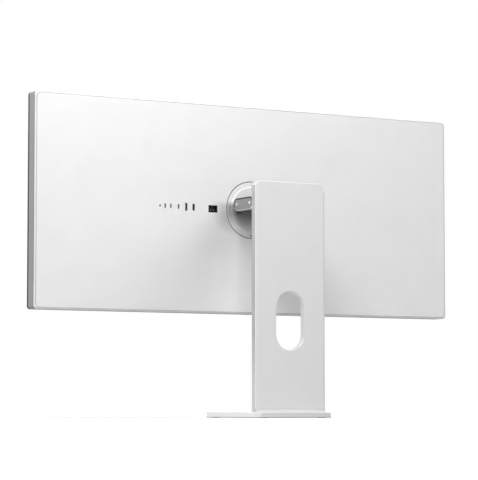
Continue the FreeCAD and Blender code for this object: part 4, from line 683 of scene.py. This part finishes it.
def screwGrid(look, length):
    # millimetres, head up: top, rounded rim, under the head, then the thread
    # r = shank - depth * triangle(z / pitch - angle / one turn)
    head, shank, pitch, columns = look["head"], look["shank"], look["pitch"], look["columns"]
    rim = look["headHeight"] - look["dome"]
    skirt = turnAbout(np.array([head, head, look["underHead"] * head, shank]),
                      np.array([look["rimTop"] * rim, look["rimFoot"] * rim, 0, 0]), columns)
    grip = length - look["headHeight"]
    heights = np.linspace(0, -grip, max(int(grip / pitch * look["stepsAPitch"]), look["fewestSteps"]))
    angle = np.linspace(0, 1, columns, endpoint=False)
    wave = np.abs(((heights[:, None] / pitch - angle) % 1) * 2 - 1)
    fade = rise(-heights, 0, pitch) * (1 - rise(-heights, grip - look["fadeOut"] * pitch, grip))
    taper = look["tipTaper"] * shank * rise(-heights, grip - look["tipStart"] * pitch, grip)
    radii = shank - 2 * look["threadDepth"] * pitch * wave * fade[:, None] - taper[:, None]
    turns = 2 * np.pi * angle
    thread = np.stack([radii * np.cos(turns), radii * np.sin(turns),
                       np.repeat(heights[:, None], columns, axis=1)], axis=-1)
    tip = turnAbout(np.zeros(1), np.array([-grip]), columns)
    return np.concatenate([screwTop(look), skirt, thread, tip])


def makeScrews():
    # one screw for each solid: its head's seat lies a head's height below the solid's top end
    for name, look in screwSets.items():
        look, grids = {**screwShape, **look, "replaces": [look["node"]]}, []
        for low, high in separateSolids(look["node"]):
            middle = (low + high) / 2
            way = look["way"] if look["way"] != "outward" else (math.copysign(1, middle[0]), 0, 0)
            axis = int(np.argmax(np.abs(way)))
            length = (high - low)[axis] / mm
            top = middle.copy()
            top[axis] = high[axis] if way[axis] > 0 else low[axis]
            seat = top - np.array(way) * look["headHeight"] * mm
            grids.append(aim(screwGrid(look, length) * mm, way, seat))
        makePiece(name, grids, look, materials[look["finish"]])


# tilt pin: a ground shaft with a domed, dimpled end in each side plate
tiltPin = {"body": "carriage", "slot": "bright_pin", "replaces": ["tilt_pin"], "neck": 3.3,
           "shaft": 4.0, "chamfer": 0.15, "neckLength": 2.2, "dome": 0.55, "dimple": (0.48, 0.92),
           "dimpleDepth": 0.35, "rings": 14, "columns": 72}


def makeTiltPin(look):
    # one half's profile from the middle out, mirrored; the end is a dome less a round dimple
    low, high = corners("tilt_pin")
    half = (high[0] - low[0]) / 2 / mm
    ends = np.linspace(1, 0, look["rings"]) * look["neck"]
    face = half - look["dome"] * (ends / look["neck"]) ** 2 - look["dimpleDepth"] * (
        1 - rise(ends, *look["dimple"]))
    shoulder, small = half - look["neckLength"], look["shaft"] - look["chamfer"]
    radii = np.concatenate([[look["shaft"], look["shaft"], small, look["neck"]], ends])
    along = np.concatenate([[0, shoulder - look["chamfer"], shoulder, shoulder], face])
    radii, along = np.concatenate([radii[::-1], radii]), np.concatenate([-along[::-1], along])
    grid = turnAbout(radii, along, look["columns"]) * mm
    makePiece("tiltPin", [aim(grid, (1, 0, 0), (low + high) / 2)], look, materials["brightPin"])


# hinge knuckle: the hub's tongue between its two lugs, bored for the pin
hingeKnuckle = {"body": "head", "slot": "hub_paint", "half": 23.4, "nose": 11.5, "root": 19.0,
                "bore": 4.3, "round": 0.9, "roundSteps": (0, 0.3, 1), "groove": 0.35,
                "grooveHalf": 0.6, "grooves": (-11.7, 0.0, 11.7), "leastSine": 0.05,
                "rows": 160, "columns": 96}


def makeKnuckle(look):
    # section: a half circle about the pin, run straight back to the hub
    low, high = corners("tilt_pin")
    nose, root, half, edge = look["nose"], look["root"], look["half"], look["round"]
    turn = np.linspace(-np.pi, np.pi, look["columns"], endpoint=False)
    ahead = np.abs(turn) > np.pi / 2
    steep = np.maximum(np.abs(np.sin(turn)), look["leastSine"])      # so that nothing is divided by 0
    reach = np.where(ahead, np.minimum(root, -nose * np.cos(turn) / steep), 0)
    side = np.where(reach < root, nose * np.sign(np.sin(turn)), -root * np.tan(turn))
    section = np.stack([np.where(ahead, -reach, nose * np.cos(turn)),
                        np.where(ahead, side, nose * np.sin(turn))])
    # the radius drops by a quarter round at each end and by a cosine in each groove
    steps = np.array(look["roundSteps"]) * edge
    along = np.concatenate([steps - half, np.linspace(edge - half, half - edge, look["rows"])[1:-1],
                            half - steps[::-1]])
    inward = np.clip((half - np.abs(along)) / edge, 0, 1)
    drop = edge * (1 - np.sqrt(1 - (1 - inward) ** 2))
    for spot in look["grooves"]:
        share = np.clip(np.abs(along - spot) / look["grooveHalf"], 0, 1)
        drop = drop + look["groove"] * (1 + np.cos(np.pi * share)) / 2
    outer = section[None] * (1 - drop / nose)[:, None, None]
    bore = np.repeat(look["bore"] * np.stack([np.cos(turn), np.sin(turn)])[None], 2, axis=0)
    loops = np.concatenate([outer, bore, outer[:1]])
    across = np.concatenate([along, [half, -half], along[:1]])
    across = np.repeat(across[:, None], look["columns"], axis=1)
    grid = np.stack([across, loops[:, 0], loops[:, 1]], axis=-1)
    makePiece("hingeKnuckle", [grid * mm + (low + high) / 2], look, materials["armLid"])


# friction washers: dished rings between the fork and the lugs
frictionWashers = {"body": "carriage", "slot": "spring_steel", "replaces": ["friction_washers"],
                   "inner": 4.1, "outer": 9.0, "thick": 0.36, "count": 4, "dish": 0.12,
                   "columns": 72}


def makeWashers(look):
    # a rectangular section carried round, its height h = dish * (share of the way out), in turn up and down
    grids, inner, outer = [], look["inner"], look["outer"]
    for low, high in separateSolids("friction_washers"):
        pitch = (high[0] - low[0]) / mm / look["count"]
        for i in range(look["count"]):
            lean = look["dish"] / 2 * (1 if i % 2 else -1)
            base = (i + 0.5 - look["count"] / 2) * pitch
            up, down = base + look["thick"] / 2, base - look["thick"] / 2
            radii = np.array([inner, outer, outer, inner, inner])
            heights = np.array([down - lean, down + lean, up + lean, up - lean, down - lean])
            grid = turnAbout(radii, heights, look["columns"]) * mm
            grids.append(aim(grid, (1, 0, 0), (low + high) / 2))
    makePiece("frictionWashers", grids, look, materials["springSteel"])


# spring coils: one flat strip wound on its spool, its outer end at the free strip
springCoils = {"slot": "spring_steel", "inner": 8.06, "pitch": 0.34, "thick": 0.28,
               "stepsATurn": 64}


def makeSpringCoil(side, look):
    # radius r = inner + pitch * turns; the angle runs on until it meets the free strip
    low, high = corners(f"{side}_spring_coil")
    middle = (low + high) / 2
    outer = (high[0] - low[0]) / 2 / mm
    turns = (outer - look["inner"] - look["thick"]) / look["pitch"]
    share = np.linspace(0, 1, int(turns * look["stepsATurn"]))
    sense = 1 if side == "right" else -1
    angle = np.pi + (1 - share) * turns * 2 * np.pi
    radius = look["inner"] + look["pitch"] * turns * share
    width = (high[1] - low[1]) / mm / 2
    section = [(0, -width), (look["thick"], -width), (look["thick"], width), (0, width)]
    grid = np.stack([np.stack([sense * (radius + out) * np.cos(angle),
                               np.full_like(angle, across),
                               (radius + out) * np.sin(angle)], axis=-1)
                     for out, across in section], axis=1)
    ends = [np.repeat(grid[i].mean(axis=0)[None, None], 4, axis=1) for i in (0, -1)]
    grid = np.concatenate([ends[0], grid, ends[1]]) * mm + middle
    makePiece(f"{side}SpringTurns", [grid],
              {**look, "body": f"{side}_drum", "replaces": [f"{side}_spring_coil"]},
              materials["springSteel"])


# rubber feet: round pads with a rounded rim and two rings in the tread
rubberFeet = {"body": "stand", "slot": "foot_rubber", "replaces": ["rubber_feet"], "round": 0.45,
              "roundSteps": 7, "ringDepth": 0.35, "rings": (3.4, 6.2), "ringHalf": 0.45,
              "ringFlat": 0.5, "rows": 64, "columns": 96}


def makeFeet(look):
    # tread height z = ring depth * sum of smooth grooves at each ring's radius
    grids = []
    for low, high in separateSolids("rubber_feet"):
        radius, height = (high[0] - low[0]) / 2 / mm, (high[2] - low[2]) / mm
        flat = np.linspace(0, radius - look["round"], look["rows"])
        edge = (look["ringFlat"] * look["ringHalf"], look["ringHalf"])
        tread = sum(look["ringDepth"] * (1 - rise(np.abs(flat - ring), *edge))
                    for ring in look["rings"])
        turn = np.linspace(0, np.pi / 2, look["roundSteps"])
        rim = radius - look["round"] * (1 - np.sin(turn))
        lift = look["round"] * (1 - np.cos(turn))
        radii = np.concatenate([flat, rim[1:], [radius, 0]])
        heights = np.concatenate([tread, lift[1:], [height, height]])
        spot = ((low[0] + high[0]) / 2, (low[1] + high[1]) / 2, low[2])
        grids.append(turnAbout(radii, heights, look["columns"]) * mm + np.array(spot))
    makePiece("rubberFeet", grids, look, materials["footRubber"])


# socket contacts: small rounded springs on the tongues
smallPortRows = {"across": 0.35, "shift": 0.0, "count": 12, "pitch": 0.5, "faces": (1, -1),
                 "width": 0.26, "length": 4.0}
contactSets = {
    "hdmiContacts": {"node": "hdmi_port", "across": 0.6, "shift": 0.0, "count": 10, "pitch": 1.0,
                     "faces": (1, -1), "width": 0.45, "length": 5.0},
    "usbAContacts": {"node": "usb_a_port", "across": 0.9, "shift": 1.0, "count": 4, "pitch": 2.3,
                     "faces": (-1,), "width": 1.1, "length": 6.0},
    "usbC1Contacts": {"node": "usb_c_port_1", **smallPortRows},
    "usbC2Contacts": {"node": "usb_c_port_2", **smallPortRows},
    "usbC3Contacts": {"node": "usb_c_port_3", **smallPortRows},
}
contact = {"body": "head", "slot": "contact_metal", "thick": 0.10, "tongueSink": 1.9,
           "rows": 9, "columns": 12, "squareness": 0.45}


def roundedBlock(half, rows, columns, squareness):
    # signed powers of sine and cosine swell an ellipsoid towards its box
    across = np.linspace(-np.pi / 2, np.pi / 2, rows)[:, None]
    around = np.linspace(-np.pi, np.pi, columns, endpoint=False)[None]

    def power(value):
        return np.sign(value) * np.abs(value) ** squareness

    return np.stack([half[0] * power(np.cos(across)) * power(np.cos(around)),
                     half[1] * power(np.cos(across)) * power(np.sin(around)),
                     half[2] * power(np.sin(across)) * np.ones_like(around)], axis=-1)


def makeContacts(look):
    # rows of like blocks at an even pitch, on one or both faces of each tongue
    for name, place in contactSets.items():
        low, high = corners(place["node"])
        middle = (low + high) / 2
        block = roundedBlock((look["thick"], place["length"] / 2, place["width"] / 2),
                             look["rows"], look["columns"], look["squareness"]) * mm
        grids = []
        for face in place["faces"]:
            for i in range(place["count"]):
                spot = (middle[0] + (place["shift"] + face * place["across"]) * mm,
                        high[1] - (look["tongueSink"] + place["length"] / 2) * mm,
                        middle[2] + (i - (place["count"] - 1) / 2) * place["pitch"] * mm)
                grids.append(block + np.array(spot))
        makePiece(name, grids, look, materials["goldContact"])


# round socket: a plated ring at the mouth with a rolled lip
jackRing = {"body": "head", "slot": "contact_metal", "inner": 1.82, "outer": 2.18, "depth": 1.6,
            "roll": 0.16, "proud": 1.55, "squareness": 0.6, "rows": 24, "columns": 64}


def makeJackRing(look):
    # a section like a long rounded bar, carried round the socket's axis
    low, high = corners("headphone_jack")
    turn = np.linspace(0, 2 * np.pi, look["rows"], endpoint=False)
    middle, half = (look["inner"] + look["outer"]) / 2, (look["outer"] - look["inner"]) / 2
    radii = middle + half * np.sign(np.cos(turn)) * np.abs(np.cos(turn)) ** look["squareness"]
    heights = np.where(np.sin(turn) > 0, look["roll"] * np.sin(turn),
                       look["depth"] * np.sin(turn))
    radii, heights = np.append(radii, radii[0]), np.append(heights, heights[0])
    spot = ((low[0] + high[0]) / 2, high[1] + look["proud"] * mm, (low[2] + high[2]) / 2)
    grid = aim(turnAbout(radii, heights, look["columns"]) * mm, (0, 1, 0), spot)
    makePiece("jackRing", [grid], look, materials["brightPin"])


makeScrews()
makeTiltPin(tiltPin)
makeKnuckle(hingeKnuckle)
makeWashers(frictionWashers)
makeSpringCoil("left", springCoils)
makeSpringCoil("right", springCoils)
makeFeet(rubberFeet)
makeContacts(contact)
makeJackRing(jackRing)
print("pieces made")


studio = {
    "floorSize": 30.0,
    "floorColor": 0.60,
    "floorGlow": (0.7, 2.4, 0.55, 1.0),       # metres near and far, and the strength at each
    "floorRough": 0.9,
    "floorGloss": 0.1,
    "worldStrength": 0.03,
}
lampTarget = (0, 0, 0.35)
lamps = {
    "keyNear": {"spot": (0.5, 0.7, 1.5), "size": 0.6, "power": 11},
    "keyHigh": {"spot": (1.4, 1.2, 1.8), "size": 0.8, "power": 13.8},
    "rightHigh": {"spot": (-3.0, 1.5, 3.2), "size": 2.6, "power": 110},
    "edgeLamp": {"spot": (1.6, 4.4, 0.7), "size": 0.5, "power": 12.7},
    "frontBox": {"spot": (1.5, -3.6, 2.2), "size": 2.0, "power": 27},
    "sideBox": {"spot": (3.4, -2.2, 1.4), "size": 1.5, "power": 71},
}


def makeLamp(name, look):
    # a square lamp aimed at the monitor's middle
    data = bpy.data.lights.new(name, "AREA")
    data.energy = look["power"]
    data.size = look["size"]
    lamp = bpy.data.objects.new(name, data)
    bpy.context.scene.collection.objects.link(lamp)
    pointAt(lamp, look["spot"], lampTarget)


def makeFloor(look):
    # the eye also sees a little white of the floor's own, so the far floor doesn't turn grey
    half = look["floorSize"] / 2
    mesh = bpy.data.meshes.new("floor")
    mesh.from_pydata([(-half, -half, 0), (half, -half, 0), (half, half, 0), (-half, half, 0)],
                     [], [(0, 1, 2, 3)])
    floor = bpy.data.objects.new("floor", mesh)
    bpy.context.scene.collection.objects.link(floor)
    sheet = nodeSheet("floorPaint")
    sheet.fill(BaseColor=(*grey(look["floorColor"]), 1), Roughness=look["floorRough"],
               SpecularIORLevel=look["floorGloss"], EmissionColor=(1, 1, 1, 1))
    path, far = sheet.add("LightPath"), sheet.reach((0, 0, 0), (0, 0, 0), (1, 1, 1))
    seen = sheet.count("MAXIMUM", path.outputs["Is Camera Ray"], path.outputs["Is Glossy Ray"])
    glow = sheet.count("MULTIPLY", seen, sheet.step(far, *look["floorGlow"]))
    sheet.join(glow, sheet.shader.inputs["Emission Strength"])
    mesh.materials.append(sheet.material)


def makeWorld(look):
    # white to the eye and in reflections, and faint as a light
    world = bpy.data.worlds.new("studioAir")
    world.use_nodes = True
    tree = world.node_tree
    back = tree.nodes["Background"]
    back.inputs["Color"].default_value = (1, 1, 1, 1)
    path = tree.nodes.new("ShaderNodeLightPath")
    either = tree.nodes.new("ShaderNodeMath")
    either.operation = "MAXIMUM"
    tree.links.new(path.outputs["Is Camera Ray"], either.inputs[0])
    tree.links.new(path.outputs["Is Glossy Ray"], either.inputs[1])
    fit = tree.nodes.new("ShaderNodeMapRange")
    fit.inputs["To Min"].default_value = look["worldStrength"]
    fit.inputs["To Max"].default_value = 1.0
    tree.links.new(either.outputs["Value"], fit.inputs["Value"])
    tree.links.new(fit.outputs["Result"], back.inputs["Strength"])
    bpy.context.scene.world = world


makeFloor(studio)
makeWorld(studio)
for name, look in lamps.items():
    makeLamp(name, look)
bpy.context.scene.view_settings.view_transform = "Standard"
print("studio lit")
